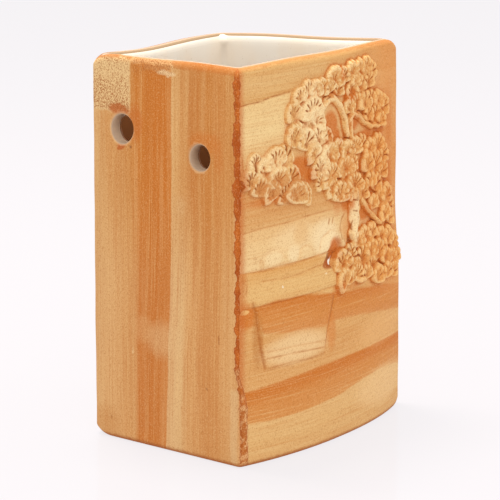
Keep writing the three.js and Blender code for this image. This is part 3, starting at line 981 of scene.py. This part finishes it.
def flank_across(distance, z):
    """Distance along the flank, with the drifting edge of its dark stroke drawn upright."""
    distance = distance - (side_of(LEFT)[3] - FLANK_LENGTH)
    edge = np.interp(z, *zip(*FLANK_DRIFT))
    beyond = STROKE_AT + (distance - edge) / (FLANK_LENGTH - edge) * (FLANK_LENGTH - STROKE_AT)
    return np.where(distance < edge, distance / edge * STROKE_AT, beyond)


def hole_masks(inset, along_left, z, on_left):
    """Where the holes' bores are, and the lips round them."""
    bore = np.zeros_like(z)
    lip = np.zeros_like(z)
    inside = smooth(inset, 0.25, 0.6) * (1 - smooth(inset, WALL + 1, WALL + 2))
    for along, up, radius in HOLES:
        from_axis = np.hypot(along_left - along, z - up)
        near = 1 - smooth(from_axis, radius + 0.5, radius + 0.9)
        lip = np.maximum(lip, near * on_left)
        bore = np.maximum(bore, near * inside)
    return bore, lip


def glaze_on_rim(inset, depth, along_left, on_front, on_left):
    """Where the glaze runs out over the rim. On the left slab it runs furthest in the middle."""
    short = (1 - smooth(along_left, 9, 13) + smooth(along_left, 41, 43)) * on_left
    start = np.where(on_front, 3.4, np.where(on_left, 2.0 + 2.5 * short, 2.8))
    return smooth(inset, start, start + 0.6) * smooth(-depth, -1.6, -0.8)


def write_attribute(mesh, name, values):
    values = np.asarray(values, np.float32)
    kind, field = ("FLOAT", "value") if values.ndim == 1 else ("FLOAT_VECTOR", "vector")
    layer = mesh.attributes.new(name, kind, "POINT")
    layer.data.foreach_set(field, values.ravel())


# The right slab and the back take the left slab's strokes, moved along, and turned round on the back
RIGHT_SHIFT = 4.0
BACK_START = 70
BACK_SCALE = -0.72


def paint(piece, is_sprig=False):
    """Writes what the materials read: brush coordinates, which face, where stain pools, and where the
    grooves get painted shade.
    """
    mesh = piece.data
    co = np.empty(len(mesh.vertices) * 3, np.float32)
    mesh.vertices.foreach_get("co", co)
    x, y, z = in_plan(co.reshape(-1, 3)).T
    front = y - front_face(x, z)
    insets, alongs = zip(*(from_side(side, x, y) for side in (RIGHT, BACK, LEFT)))
    along_right, along_back, along_left = alongs
    others = np.min(insets, axis=0)
    nearest = np.argmin(insets, axis=0)
    on_left = nearest == 2
    across = np.choose(nearest, [
        along_right + RIGHT_SHIFT,
        BACK_START + along_back * BACK_SCALE,
        flank_across(along_left, z),
    ])
    is_front = np.ones_like(x) if is_sprig else smooth(others - front, -0.3, 0.3)
    shadow = 0.35 + 0.65 * np.maximum(smooth(x, 45, 70), smooth(read_map(SURFACE, x, z), 0.4, 1.0))
    depth = HEIGHT - rim_drop(x, y) - z
    bore, lip = hole_masks(insets[2], along_left, z, on_left)
    inset = np.minimum(others, front)
    values = {
        "brush_front": np.stack((x, levelled(x, z), z), axis=-1),
        "brush_flank": np.stack((across, z, nearest * 40.0), axis=-1),
        "is_front": is_front,
        "is_left": on_left,
        "groove": read_map(GROOVE, x, z) * is_front * shadow,
        "hollow": read_map(HOLLOW, x, z) * is_front,
        "pool": read_map(POOLS, x, z) * is_front,
        "lines": read_map(LINES if is_sprig else INK, x, z) * is_front,
        "seam": np.clip(seam_depth(x, y, z), -20, 20),
        "rim": depth,
        "glazed": glaze_on_rim(inset, depth, along_left, front < others, on_left),
        "bore": bore,
        "lip": lip,
    }
    for name, value in values.items():
        write_attribute(mesh, name, value)


# ---- Materials ----


def srgb(red, green, blue):
    """A colour given as the usual 0 to 255 values, in Blender's linear units."""
    channels = []
    for value in (red, green, blue):
        value /= 255
        channels.append(value / 12.92 if value <= 0.04045 else ((value + 0.055) / 1.055) ** 2.4)
    return (*channels, 1.0)


class Nodes:
    """Short calls that add nodes to one material, and a colour that is built up in layers."""

    def __init__(self, name):
        self.material = bpy.data.materials.new(name)
        self.material.use_nodes = True
        self.tree = self.material.node_tree
        self.shader = self.tree.nodes["Principled BSDF"]
        self.place = self.add("TexCoord").outputs["Object"]
        self.colour = None

    def add(self, kind, **settings):
        node = self.tree.nodes.new("ShaderNode" + kind)
        for name, value in settings.items():
            setattr(node, name, value)
        return node

    def put(self, socket, value):
        """Links or sets a socket. Three numbers are a colour's 0 to 255 values."""
        if isinstance(value, bpy.types.NodeSocket):
            self.tree.links.new(value, socket)
        elif isinstance(value, tuple) and len(value) == 3:
            socket.default_value = srgb(*value)
        else:
            socket.default_value = value

    def attribute(self, name, output="Fac"):
        return self.add("Attribute", attribute_name=name).outputs[output]

    def math(self, operation, a, b=0.0, c=0.0, clamp=False):
        node = self.add("Math", operation=operation, use_clamp=clamp)
        for socket, value in zip(node.inputs, (a, b, c)):
            self.put(socket, value)
        return node.outputs[0]

    def times(self, a, b):
        return self.math("MULTIPLY", a, b)

    def steps(self, value, low, high, to_low=0.0, to_high=1.0):
        """A smooth step of value from low to high."""
        node = self.add("MapRange", interpolation_type="SMOOTHSTEP")
        names = ("Value", "From Min", "From Max", "To Min", "To Max")
        for name, number in zip(names, (value, low, high, to_low, to_high)):
            self.put(node.inputs[name], number)
        return node.outputs[0]

    def noise(self, vector, scale, detail, roughness=0.55, shift=(0, 0, 0)):
        """Noise of 0 to 1 over a vector, at one scale or one for each axis."""
        scaled = self.add("Mapping")
        self.put(scaled.inputs["Vector"], vector)
        scaled.inputs["Scale"].default_value = scale if isinstance(scale, tuple) else (scale,) * 3
        scaled.inputs["Location"].default_value = shift
        node = self.add("TexNoise")
        self.put(node.inputs["Vector"], scaled.outputs[0])
        node.inputs["Scale"].default_value = 1.0
        node.inputs["Detail"].default_value = detail
        node.inputs["Roughness"].default_value = roughness
        return node.outputs["Fac"]

    def ramp(self, value, stops):
        """A colour ramp through a list of places and colours, from 0 to the last place."""
        span = stops[-1][0]
        node = self.add("ValToRGB")
        self.put(node.inputs[0], self.math("DIVIDE", value, span))
        elements = node.color_ramp.elements
        elements[0].position, elements[1].position = 0, 1
        elements[0].color, elements[1].color = srgb(*stops[0][1]), srgb(*stops[-1][1])
        for place, colour in stops[1:-1]:
            elements.new(place / span).color = srgb(*colour)
        return node.outputs[0]

    def mix(self, factor, a, b, blend="MIX"):
        node = self.add("Mix", data_type="RGBA", blend_type=blend)
        self.put(node.inputs["Factor"], factor)
        self.put(node.inputs[6], a)
        self.put(node.inputs[7], b)
        return node.outputs[2]

    def split(self, vector):
        node = self.add("SeparateXYZ")
        self.put(node.inputs[0], vector)
        return node.outputs

    def ragged(self, value, noise, amount, clamp=False):
        """A value pushed to and fro by a noise."""
        push = self.math("MULTIPLY_ADD", noise, 2 * amount, -amount)
        return self.math("ADD", value, push, clamp=clamp)

    def patch(self, u, v, low, high, soft):
        """A mask that is 1 between two corners of u and v, with soft edges."""
        mask = self.steps(u, low[0] - soft, low[0] + soft)
        mask = self.times(mask, self.steps(u, high[0] + soft, high[0] - soft))
        mask = self.times(mask, self.steps(v, low[1] - soft, low[1] + soft))
        return self.times(mask, self.steps(v, high[1] + soft, high[1] - soft))

    def spot(self, u, v, middle, reach, soft):
        """A mask that is 1 in an oval of u and v."""
        du = self.math("MULTIPLY_ADD", u, 1 / reach[0], -middle[0] / reach[0])
        dv = self.math("MULTIPLY_ADD", v, 1 / reach[1], -middle[1] / reach[1])
        away = self.math("ADD", self.times(du, du), self.times(dv, dv))
        return self.steps(away, 1 + soft, 1 - soft)

    def lay(self, mask, paint, strength=1.0):
        """Lays a paint over the colour where the mask is."""
        if strength != 1:
            mask = self.times(mask, strength)
        self.colour = self.mix(mask, self.colour, paint)

    def wash(self, value, low, high, strength, paint):
        """Lays a paint over the colour as a value goes from low to high."""
        self.colour = self.mix(self.steps(value, low, high, 0, strength), self.colour, paint)

    def lay_spots(self, spots, u, v, within=1.0):
        """Lays ovals of paint: middle, reach, softness, paint and strength of each."""
        for middle, reach, soft, paint, strength in spots:
            self.lay(self.times(self.spot(u, v, middle, reach, soft), within), paint, strength)

    def bump(self, height, distance, strength, under=None):
        node = self.add("Bump")
        node.inputs["Strength"].default_value = strength
        node.inputs["Distance"].default_value = distance
        self.put(node.inputs["Height"], height)
        if under is not None:
            self.put(node.inputs["Normal"], under)
        return node.outputs[0]

    def finish(self, roughness, normal):
        for name, value in (("Base Color", self.colour), ("Roughness", roughness), ("Normal", normal)):
            self.put(self.shader.inputs[name], value)
        return self.material


# Colours of the front's strokes, from the foot up, and of the left slab's, from its back edge to the
# front, high up and low down
FRONT_STOPS = [
    (0, (206, 148, 90)), (2, (219, 170, 112)), (10, (223, 177, 118)), (17.8, (225, 180, 122)),
    (18.2, (214, 146, 82)), (24, (211, 138, 72)), (27, (205, 122, 52)), (29.8, (202, 114, 40)),
    (30.2, (220, 166, 106)), (36, (217, 162, 102)), (47.8, (219, 165, 104)),
    (48.2, (211, 139, 76)), (53, (211, 136, 67)), (57.8, (203, 118, 46)),
    (58.2, (226, 180, 118)), (65, (229, 186, 124)), (73.7, (220, 164, 98)),
    (74.4, (236, 203, 152)), (84, (235, 198, 144)), (89.5, (228, 184, 128)), (91, (219, 167, 108)),
    (103, (213, 152, 92)), (112, (224, 178, 120)), (124, (238, 207, 152)), (135.6, (234, 199, 142)),
    (136.2, (218, 168, 106)), (143, (223, 180, 122)), (150, (219, 168, 104)),
]
FLANK_HIGH = [
    (0, (214, 166, 112)), (8, (212, 158, 100)), (14, (205, 145, 86)), (19, (205, 142, 80)),
    (22, (201, 124, 54)), (33, (200, 116, 44)), (40.6, (201, 119, 48)),
    (41.2, (224, 178, 122)), (42.4, (214, 162, 104)), (47, (208, 149, 90)), (51, (200, 134, 74)),
    (60, (199, 128, 62)), (66, (206, 140, 78)), (71, (207, 144, 82)), (75.5, (204, 140, 78)),
]
FLANK_LOW = [
    (0, (216, 168, 116)), (9, (217, 166, 112)), (17, (212, 156, 100)), (22, (208, 148, 92)),
    (25, (199, 120, 58)), (33, (198, 118, 54)), (38, (201, 124, 62)), (40.7, (202, 126, 64)),
    (41.2, (222, 178, 128)), (47, (221, 178, 126)), (51, (216, 162, 106)), (59, (205, 141, 83)),
    (66, (208, 147, 89)), (71, (214, 160, 104)), (75.5, (212, 156, 100)),
]

# Patches on the left slab: two corners as distance along and height, softness, colour, strength
FLANK_PATCHES = [
    ((-4, 128.5), (18.8, 149.5), 0.7, (232, 198, 146), 0.9),
    ((19, 148.0), (42.3, 151), 0.7, (230, 190, 138), 0.65),
    ((27, 145.6), (42.5, 148.2), 0.9, (224, 178, 122), 0.45),
    ((43, 92), (48, 99), 2.5, (220, 178, 128), 0.3),
    ((18.4, 115.0), (19.6, 116.4), 0.3, (120, 66, 36), 0.7),
    ((6.8, 7.2), (8.0, 8.4), 0.3, (150, 90, 44), 0.7),
    ((59.4, 27.4), (60.2, 28.2), 0.2, (150, 90, 50), 0.6),
    ((20.6, 35.0), (21.2, 37.4), 0.2, (236, 200, 150), 0.7),
    ((65.6, 45.6), (66.2, 49.0), 0.2, (160, 92, 46), 0.6),
    ((71.5, 2), (75.0, 30), 1.0, (222, 184, 136), 0.55),
    ((72.6, 62), (75.5, 96), 0.8, (228, 184, 132), 0.45),
]
# Spots on the left slab: middle, reach, softness, colour, strength
FLANK_SPOTS = [
    ((38.3, 145.2), (4.8, 1.1), 0.7, (242, 212, 166), 0.7),
    ((32.0, 146.8), (7.0, 1.0), 0.5, (190, 112, 54), 0.5),
    ((12.8, 129.6), (5.2, 1.6), 0.5, (186, 92, 34), 0.85),
    ((21.0, 125.0), (4.2, 6.5), 0.8, (196, 106, 42), 0.65),
    ((13.6, 115.0), (2.3, 1.6), 0.5, (184, 88, 34), 0.8),
    ((58.5, 121.0), (7.5, 4.0), 0.9, (206, 120, 52), 0.6),
    ((65.0, 115.5), (2.5, 5.0), 0.9, (204, 120, 56), 0.4),
    ((38.5, 43.0), (9.0, 6.5), 0.9, (226, 186, 136), 0.42),
    ((27.0, 46.0), (5.0, 5.0), 0.9, (218, 166, 112), 0.4),
    ((3.0, 5.0), (9.0, 7.0), 0.9, (198, 136, 78), 0.5),
]
# Spots on the front slab, among them painted shade and painted highlights, and on the sprigs, given
# in the same way
FRONT_SPOTS = [
    ((3, 57.2), (4.2, 5.0), 0.8, (208, 120, 48), 0.8),
    ((2.6, 59.0), (2.4, 0.9), 0.35, (240, 194, 126), 0.8),
    ((31.5, 41), (19.5, 5.6), 0.8, (238, 203, 154), 0.8),
    # Painted shade along the planter's left and right sides, beside its creases
    ((9.4, 47), (2.6, 10.0), 0.8, (186, 118, 56), 0.55),
    ((55.0, 44), (3.6, 7.5), 0.8, (212, 128, 58), 0.6),
    # Painted highlights: two white glints at the edge of the lower left foliage
    ((3.3, 107), (0.5, 1.0), 0.35, (250, 232, 200), 0.8),
    ((6.0, 106.5), (0.5, 1.2), 0.35, (248, 228, 194), 0.7),
    ((23.6, 65.7), (0.5, 0.6), 0.35, (248, 234, 208), 0.9),
    ((52.4, 66.1), (1.0, 0.4), 0.35, (244, 220, 180), 0.7),
    ((61.5, 75.0), (4.2, 4.0), 0.8, (196, 98, 36), 0.8),
    # Painted shadow in the hollow under the right moss, darkest in its undercut
    ((58.8, 70.6), (4.4, 3.2), 0.8, (124, 52, 22), 0.95),
    ((55.4, 69.2), (3.6, 1.8), 0.8, (176, 84, 34), 0.8),
    # A white speck at full white in that hollow: partly glaze, partly a painted highlight
    ((57.4, 69.8), (1.5, 1.2), 0.35, (255, 252, 246), 1.0),
    ((58.9, 70.8), (1.3, 1.3), 0.35, (255, 252, 246), 1.0),
    ((70.0, 81.0), (3.0, 5.0), 0.8, (226, 166, 104), 0.6),
    ((98, 13.5), (24, 7.0), 0.8, (238, 198, 146), 0.6),
    ((98, 36.5), (22, 6.0), 0.8, (234, 182, 122), 0.5),
    ((18.8, 77.3), (5.5, 2.8), 0.8, (243, 216, 170), 0.7),
    ((31.5, 77.0), (4.0, 2.8), 0.8, (245, 220, 176), 0.8),
    ((40.3, 76.4), (3.6, 2.4), 0.8, (238, 206, 156), 0.5),
    ((54.0, 80.0), (9.0, 6.5), 0.8, (249, 226, 184), 0.7),
    ((34.0, 82.5), (15.0, 5.0), 0.8, (246, 218, 172), 0.45),
    ((37, 84.0), (5.0, 4.0), 0.8, (222, 168, 104), 0.4),
    ((11.9, 75.6), (1.3, 2.4), 0.35, (206, 152, 98), 0.35),
]
SPRIG_SPOTS = [
    ((75.6, 84), (3.6, 9), 0.8, (246, 218, 172), 0.85),
    ((61.5, 131), (8, 4.5), 0.8, (236, 184, 122), 0.6),
    ((46, 128), (9, 11), 0.8, (250, 224, 178), 0.7),
    ((53, 113), (5, 10), 0.8, (250, 222, 174), 0.65),
    ((15, 113), (13, 5), 0.8, (248, 218, 168), 0.6),
    ((18, 101), (22, 7), 0.8, (206, 140, 84), 0.75),
    ((68, 101), (13, 10), 0.8, (222, 154, 90), 0.4),
    ((104, 80), (10, 10), 0.8, (232, 166, 96), 0.5),
]


class Clay(Nodes):
    """The nodes of stained earthenware, with the values that its layers share."""

    def __init__(self, name):
        super().__init__(name)
        self.front = self.attribute("brush_front", "Vector")
        self.flank = self.attribute("brush_flank", "Vector")
        self.front_x, self.level, self.height = self.split(self.front)
        self.across, self.flank_z, _ = self.split(self.flank)
        self.speck = self.noise(self.place, 1900, 2)
        self.rough = self.noise(self.place, 420, 3)
        self.blotch = self.noise(self.place, 170, 3)
        self.is_front = self.attribute("is_front")
        self.is_left = self.times(self.attribute("is_left"), self.math("SUBTRACT", 1.0, self.is_front))
        self.marks_x = self.ragged(self.front_x, self.rough, 0.5)
        self.marks_z = self.ragged(self.height, self.rough, 0.5)


def front_strokes(clay):
    """The front's colour and the streaks in it: strokes that run across."""
    level = clay.ragged(clay.level, clay.noise(clay.front, (0.04, 0.3, 0), 3), 0.7)
    level = clay.ragged(level, clay.noise(clay.front, (0.1, 0, 3), 2), 0.45)
    clay.colour = clay.ramp(level, FRONT_STOPS)
    streak = clay.noise(clay.front, (0.022, 0, 1.5), 5, roughness=0.65)
    clay.wash(streak, 0.46, 0.74, 0.45, (200, 126, 60))
    clay.wash(streak, 0.5, 0.28, 0.35, (238, 204, 148))
    to_right = clay.times(clay.steps(clay.front_x, 78, 112), clay.steps(level, 50, 62))
    clay.lay(to_right, (221, 148, 82), 0.85)
    return clay.colour, streak


def flank_strokes(clay):
    """The flanks' and back's colour and the streaks in it: strokes that run down."""
    across = clay.ragged(clay.across, clay.noise(clay.flank, (0.2, 0.025, 0.02), 3), 1.0)
    clay.across = clay.ragged(across, clay.noise(clay.flank, (2.6, 0.05, 0.1), 2), 0.45)
    low, high = clay.ramp(clay.across, FLANK_LOW), clay.ramp(clay.across, FLANK_HIGH)
    clay.colour = clay.mix(clay.steps(clay.flank_z, 55, 110), low, high)
    streak = clay.noise(clay.flank, (1.5, 0.02, 0.1), 3, roughness=0.6)
    clay.wash(streak, 0.48, 0.78, 0.5, (188, 108, 42))
    clay.wash(streak, 0.52, 0.22, 0.45, (232, 186, 126))
    cloud = clay.noise(clay.flank, (0.3, 0.012, 0.1), 1, shift=(3, 1, 0))
    clay.wash(cloud, 0.5, 0.75, 0.25, (194, 114, 48))
    clay.wash(cloud, 0.5, 0.25, 0.2, (234, 192, 136))
    return clay.colour, streak


def paint_marks(clay):
    """Marks left by sponge and brush on the slabs, with painted shade and painted highlights among the
    front's spots.
    """
    u = clay.ragged(clay.across, clay.rough, 0.9)
    v = clay.ragged(clay.flank_z, clay.blotch, 2.2)
    for low, high, soft, colour, strength in FLANK_PATCHES:
        clay.lay(clay.times(clay.patch(u, v, low, high, soft), clay.is_left), colour, strength)
    clay.lay_spots(FLANK_SPOTS, u, v, clay.is_left)
    dots = clay.noise(clay.place, (2300, 2300, 1700), 1)
    dense = clay.steps(clay.ragged(clay.flank_z, clay.blotch, 14), 146, 131, 0, 0.1)
    dense = clay.math("ADD", dense, clay.steps(clay.flank_z, 146.5, 148.5, 0, 0.08))
    sponge = clay.steps(clay.math("ADD", dots, dense), 0.56, 0.63)
    corner = clay.patch(u, v, (-4, 129), (18.2, 151), 0.8)
    strip = clay.patch(u, v, (20, 144.5), (42, 151), 0.8)
    sponge = clay.times(sponge, clay.math("MAXIMUM", corner, strip))
    clay.lay(clay.times(sponge, clay.is_left), (164, 92, 42), 0.8)
    clay.lay_spots(FRONT_SPOTS, clay.marks_x, clay.marks_z, clay.is_front)
    return clay.steps(clay.front_x, 60, 98)


def paint_sprig(clay):
    """Sprigs are pale on top, and warmer to the right and low down."""
    low_down = clay.times(clay.steps(clay.height, 92, 60), 0.55)
    warm = clay.math("MAXIMUM", clay.steps(clay.front_x, 60, 98), low_down)
    warm = clay.ragged(warm, clay.noise(clay.front, (0.13, 0, 0.13), 2), 0.5, clamp=True)
    pale = clay.mix(warm, (228, 178, 114), (228, 154, 80))
    pale = clay.mix(clay.steps(clay.height, 120, 140, 0, 0.6), pale, (226, 174, 112))
    clay.lay(0.85, pale)
    clay.wash(clay.rough, 0.5, 0.72, 0.4, (206, 128, 66))
    clay.wash(clay.noise(clay.place, 1100, 2), 0.52, 0.68, 0.5, (192, 114, 56))
    clay.lay_spots(SPRIG_SPOTS, clay.marks_x, clay.marks_z)
    return warm


def paint_stain_shade_and_highlight(clay, warm, is_sprig):
    """Stain pools in grooves and hollows and wears off the high points. The grooves' darkening is partly
    painted shade, and the pale high points are partly a painted highlight.
    """
    cavity = clay.ragged(clay.attribute("groove"), clay.rough, 0.1)
    hollow = clay.times(clay.attribute("hollow"), clay.steps(clay.front_x, 50, 70, 0.3, 1.0))
    pool = clay.ragged(clay.attribute("pool"), clay.rough, 0.08)
    lines = clay.ragged(clay.attribute("lines"), clay.blotch, 0.15)
    clay.wash(hollow, -0.1, 0.7, 0.85 if is_sprig else 0.25, (202, 112, 40))
    clay.wash(pool, 0.05, 0.7, 0.85, (204, 108, 34))
    # Darker in the grooves: partly stain, partly painted shade
    clay.wash(cavity, 0.06, 0.45, 0.7, (202, 112, 42))
    clay.wash(cavity, 0.35, 0.9, 0.85, (158, 74, 22))
    clay.wash(lines, 0.0, 0.5, 0.5, (202, 120, 50))
    clay.wash(lines, 0.15, 0.55, 0.85, clay.mix(warm, (146, 74, 24), (162, 76, 20)))
    # Paler on the high points: partly stain worn off, partly a painted highlight
    wear_and_highlight = clay.mix(warm, (252, 228, 180), (251, 208, 142))
    clay.wash(cavity, -0.04, -0.3, 0.5 if is_sprig else 0.3, wear_and_highlight)


def paint_seam(clay):
    """The ragged rusty seam at the front left corner, narrower low down and dry near the foot, with painted
    shadow darkening its edges.
    """
    narrow = clay.times(clay.steps(clay.flank_z, 100, 70, 0, 0.5), clay.steps(clay.flank_z, 18, 32))
    seam = clay.math("SUBTRACT", clay.ragged(clay.attribute("seam"), clay.rough, 0.5), narrow)
    rust_and_shadow = clay.mix(clay.steps(clay.blotch, 0.35, 0.65), (174, 80, 22), (202, 108, 40))
    dry = clay.mix(clay.steps(clay.rough, 0.45, 0.55), (186, 112, 54), (228, 176, 122))
    rust_and_shadow = clay.mix(clay.steps(clay.ragged(clay.flank_z, clay.blotch, 20), 42, 20, 0, 0.75), rust_and_shadow, dry)
    # Painted shadow: the seam's edges are darkened where the raised bead meets the wall
    rust_and_shadow = clay.mix(clay.steps(seam, 0.8, 0.25, 0, 0.45), rust_and_shadow, (150, 66, 18))
    rust_and_shadow = clay.mix(clay.steps(clay.speck, 0.45, 0.7, 0, 0.5), rust_and_shadow, (140, 66, 22))
    clay.lay(clay.times(clay.steps(clay.front_x, 4.5, 0.4, 0, 0.7), clay.is_front), (196, 104, 46))
    clay.lay(clay.steps(seam, -0.2, 0.15), rust_and_shadow)


def paint_edges(clay):
    """The orange edging along the rim, wider by the front seam and rubbed off the left slab's middle,
    and along the foot."""
    rim = clay.ragged(clay.attribute("rim"), clay.blotch, 0.7)
    band = clay.times(clay.is_left, clay.steps(clay.across, 40.5, 42, 0, 1.9))
    bare = clay.times(clay.patch(clay.across, clay.flank_z, (12, 100), (40.5, 160), 1.0), clay.is_left)
    edging = clay.steps(clay.math("SUBTRACT", rim, band), 1.2, 0.3, 0, 0.65)
    edging = clay.times(edging, clay.math("MULTIPLY_ADD", clay.is_front, -0.2, 1.0))
    edging = clay.times(edging, clay.math("MULTIPLY_ADD", bare, -0.85, 1.0))
    far_edge = clay.mix(clay.is_front, (150, 86, 40), (196, 124, 66))
    clay.lay(edging, clay.mix(clay.is_left, far_edge, (192, 114, 52)))
    clay.wash(clay.ragged(clay.height, clay.rough, 0.6), 2.3, 0.7, 0.85, (162, 86, 34))


def paint_specks(clay):
    """Fine specks of iron and of rubbed clay, the bare clay in the holes and the glaze on the rim."""
    clay.wash(clay.speck, 0.5, 0.72, 0.45, (168, 96, 40))
    clay.wash(clay.speck, 0.48, 0.28, 0.2, (244, 214, 164))
    clay.lay(clay.attribute("lip"), (236, 204, 164), 0.35)
    clay.lay(clay.attribute("bore"), (192, 165, 143))
    clay.lay(clay.attribute("glazed"), clay.mix(clay.is_left, (182, 152, 122), (206, 164, 112)))


# The whole clay's colour is multiplied by this
CLAY_TONE = (0.97, 0.955, 0.88, 1)


def clay_material(name, is_sprig=False):
    clay = Clay(name)
    front, streak = front_strokes(clay)
    flank, streak_down = flank_strokes(clay)
    clay.colour = clay.mix(clay.is_front, flank, front)
    warm = paint_sprig(clay) if is_sprig else paint_marks(clay)
    paint_stain_shade_and_highlight(clay, warm, is_sprig)
    paint_seam(clay)
    paint_edges(clay)
    paint_specks(clay)
    clay.colour = clay.mix(1.0, clay.colour, CLAY_TONE, "MULTIPLY")
    clay.shader.inputs["Specular IOR Level"].default_value = 0.08
    grain = clay.bump(clay.speck, 0.00004, 0.6)
    if is_sprig:
        grain = clay.bump(clay.rough, 0.0008, 0.9, under=grain)
    ridges = clay.bump(clay.mix(clay.is_front, streak_down, streak), 0.00022, 0.6, under=grain)
    return clay.finish(clay.steps(clay.rough, 0.3, 0.7, 0.55, 0.7), ridges)


def glaze_material():
    """Cream glaze inside, thin and tan at the lip, darker past the middle."""
    glaze = Nodes("cream_glaze")
    cloud = glaze.noise(glaze.place, (45, 45, 25), 3)
    depth = glaze.attribute("rim")
    glaze.colour = glaze.mix(glaze.steps(cloud, 0.35, 0.65), (255, 241, 219), (255, 247, 231))
    glaze.wash(glaze.noise(glaze.place, 900, 1), 0.7, 0.78, 0.3, (206, 176, 134))
    glaze.wash(glaze.ragged(depth, cloud, 0.25), 0.5, 0.1, 0.75, (190, 138, 90))
    glaze.wash(glaze.ragged(depth, cloud, 3.0), 21.5, 25.5, 1.0, (146, 94, 56))
    smear = glaze.steps(cloud, 0.3, 0.7, 0.08, 0.16)
    roughness = glaze.math("ADD", smear, glaze.steps(depth, 4.0, 2.0, 0, 0.5))
    return glaze.finish(roughness, glaze.bump(cloud, 0.0006, 0.5))


def bare_material():
    bare = Nodes("bare_clay")
    cloud = bare.noise(bare.place, 60, 4)
    grit = bare.noise(bare.place, 1200, 1)
    bare.colour = bare.mix(bare.steps(cloud, 0.35, 0.65), (214, 180, 150), (224, 194, 166))
    bare.wash(grit, 0.6, 0.72, 0.4, (176, 132, 98))
    return bare.finish(0.85, bare.bump(grit, 0.00008, 0.8))


# ---- Build ----

make_camera()
make_studio()

WALL_CLAY = clay_material("stained_clay")
SEAM_CLAY = clay_material("rust_clay")
SPRIG_CLAY = clay_material("relief_clay", is_sprig=True)

# Each wall's path round the pot, and how far apart its points are up the face
WALLS = [
    ("front_slab", slab_path(FRONT, 190), 0.6),
    ("right_slab", slab_path(RIGHT, 40), 1.5),
    ("back_slab", slab_path(BACK, 50), 1.5),
    ("left_slab", slab_path(LEFT, 70), 0.9),
    ("seam_front_left", seam_path(FRONT, FRONT_CORNER_RADIUS, 22), 0.4),
    ("seam_front_right", seam_path(RIGHT, CORNER_RADIUS, 8), 0.6),
    ("seam_back_right", seam_path(BACK, CORNER_RADIUS, 4), 1.0),
    ("seam_back_left", seam_path(LEFT, CORNER_RADIUS, 4), 1.0),
]
for name, path_at, step in WALLS:
    rusty = name == "seam_front_left"
    wall = make_wall(name, path_at, SEAM_CLAY if rusty else WALL_CLAY, step)
    if name == "left_slab":
        cut_holes(wall, 0.0, WALL, HOLE_LIP)
    paint(wall)

for name, heights in HEIGHTS.items():
    washed = name.startswith(("planter", "moss"))
    paint(make_sprig(name, heights, WALL_CLAY if washed else SPRIG_CLAY), is_sprig=True)

paint(make_lining(glaze_material()))
make_floor_slab(bare_material())
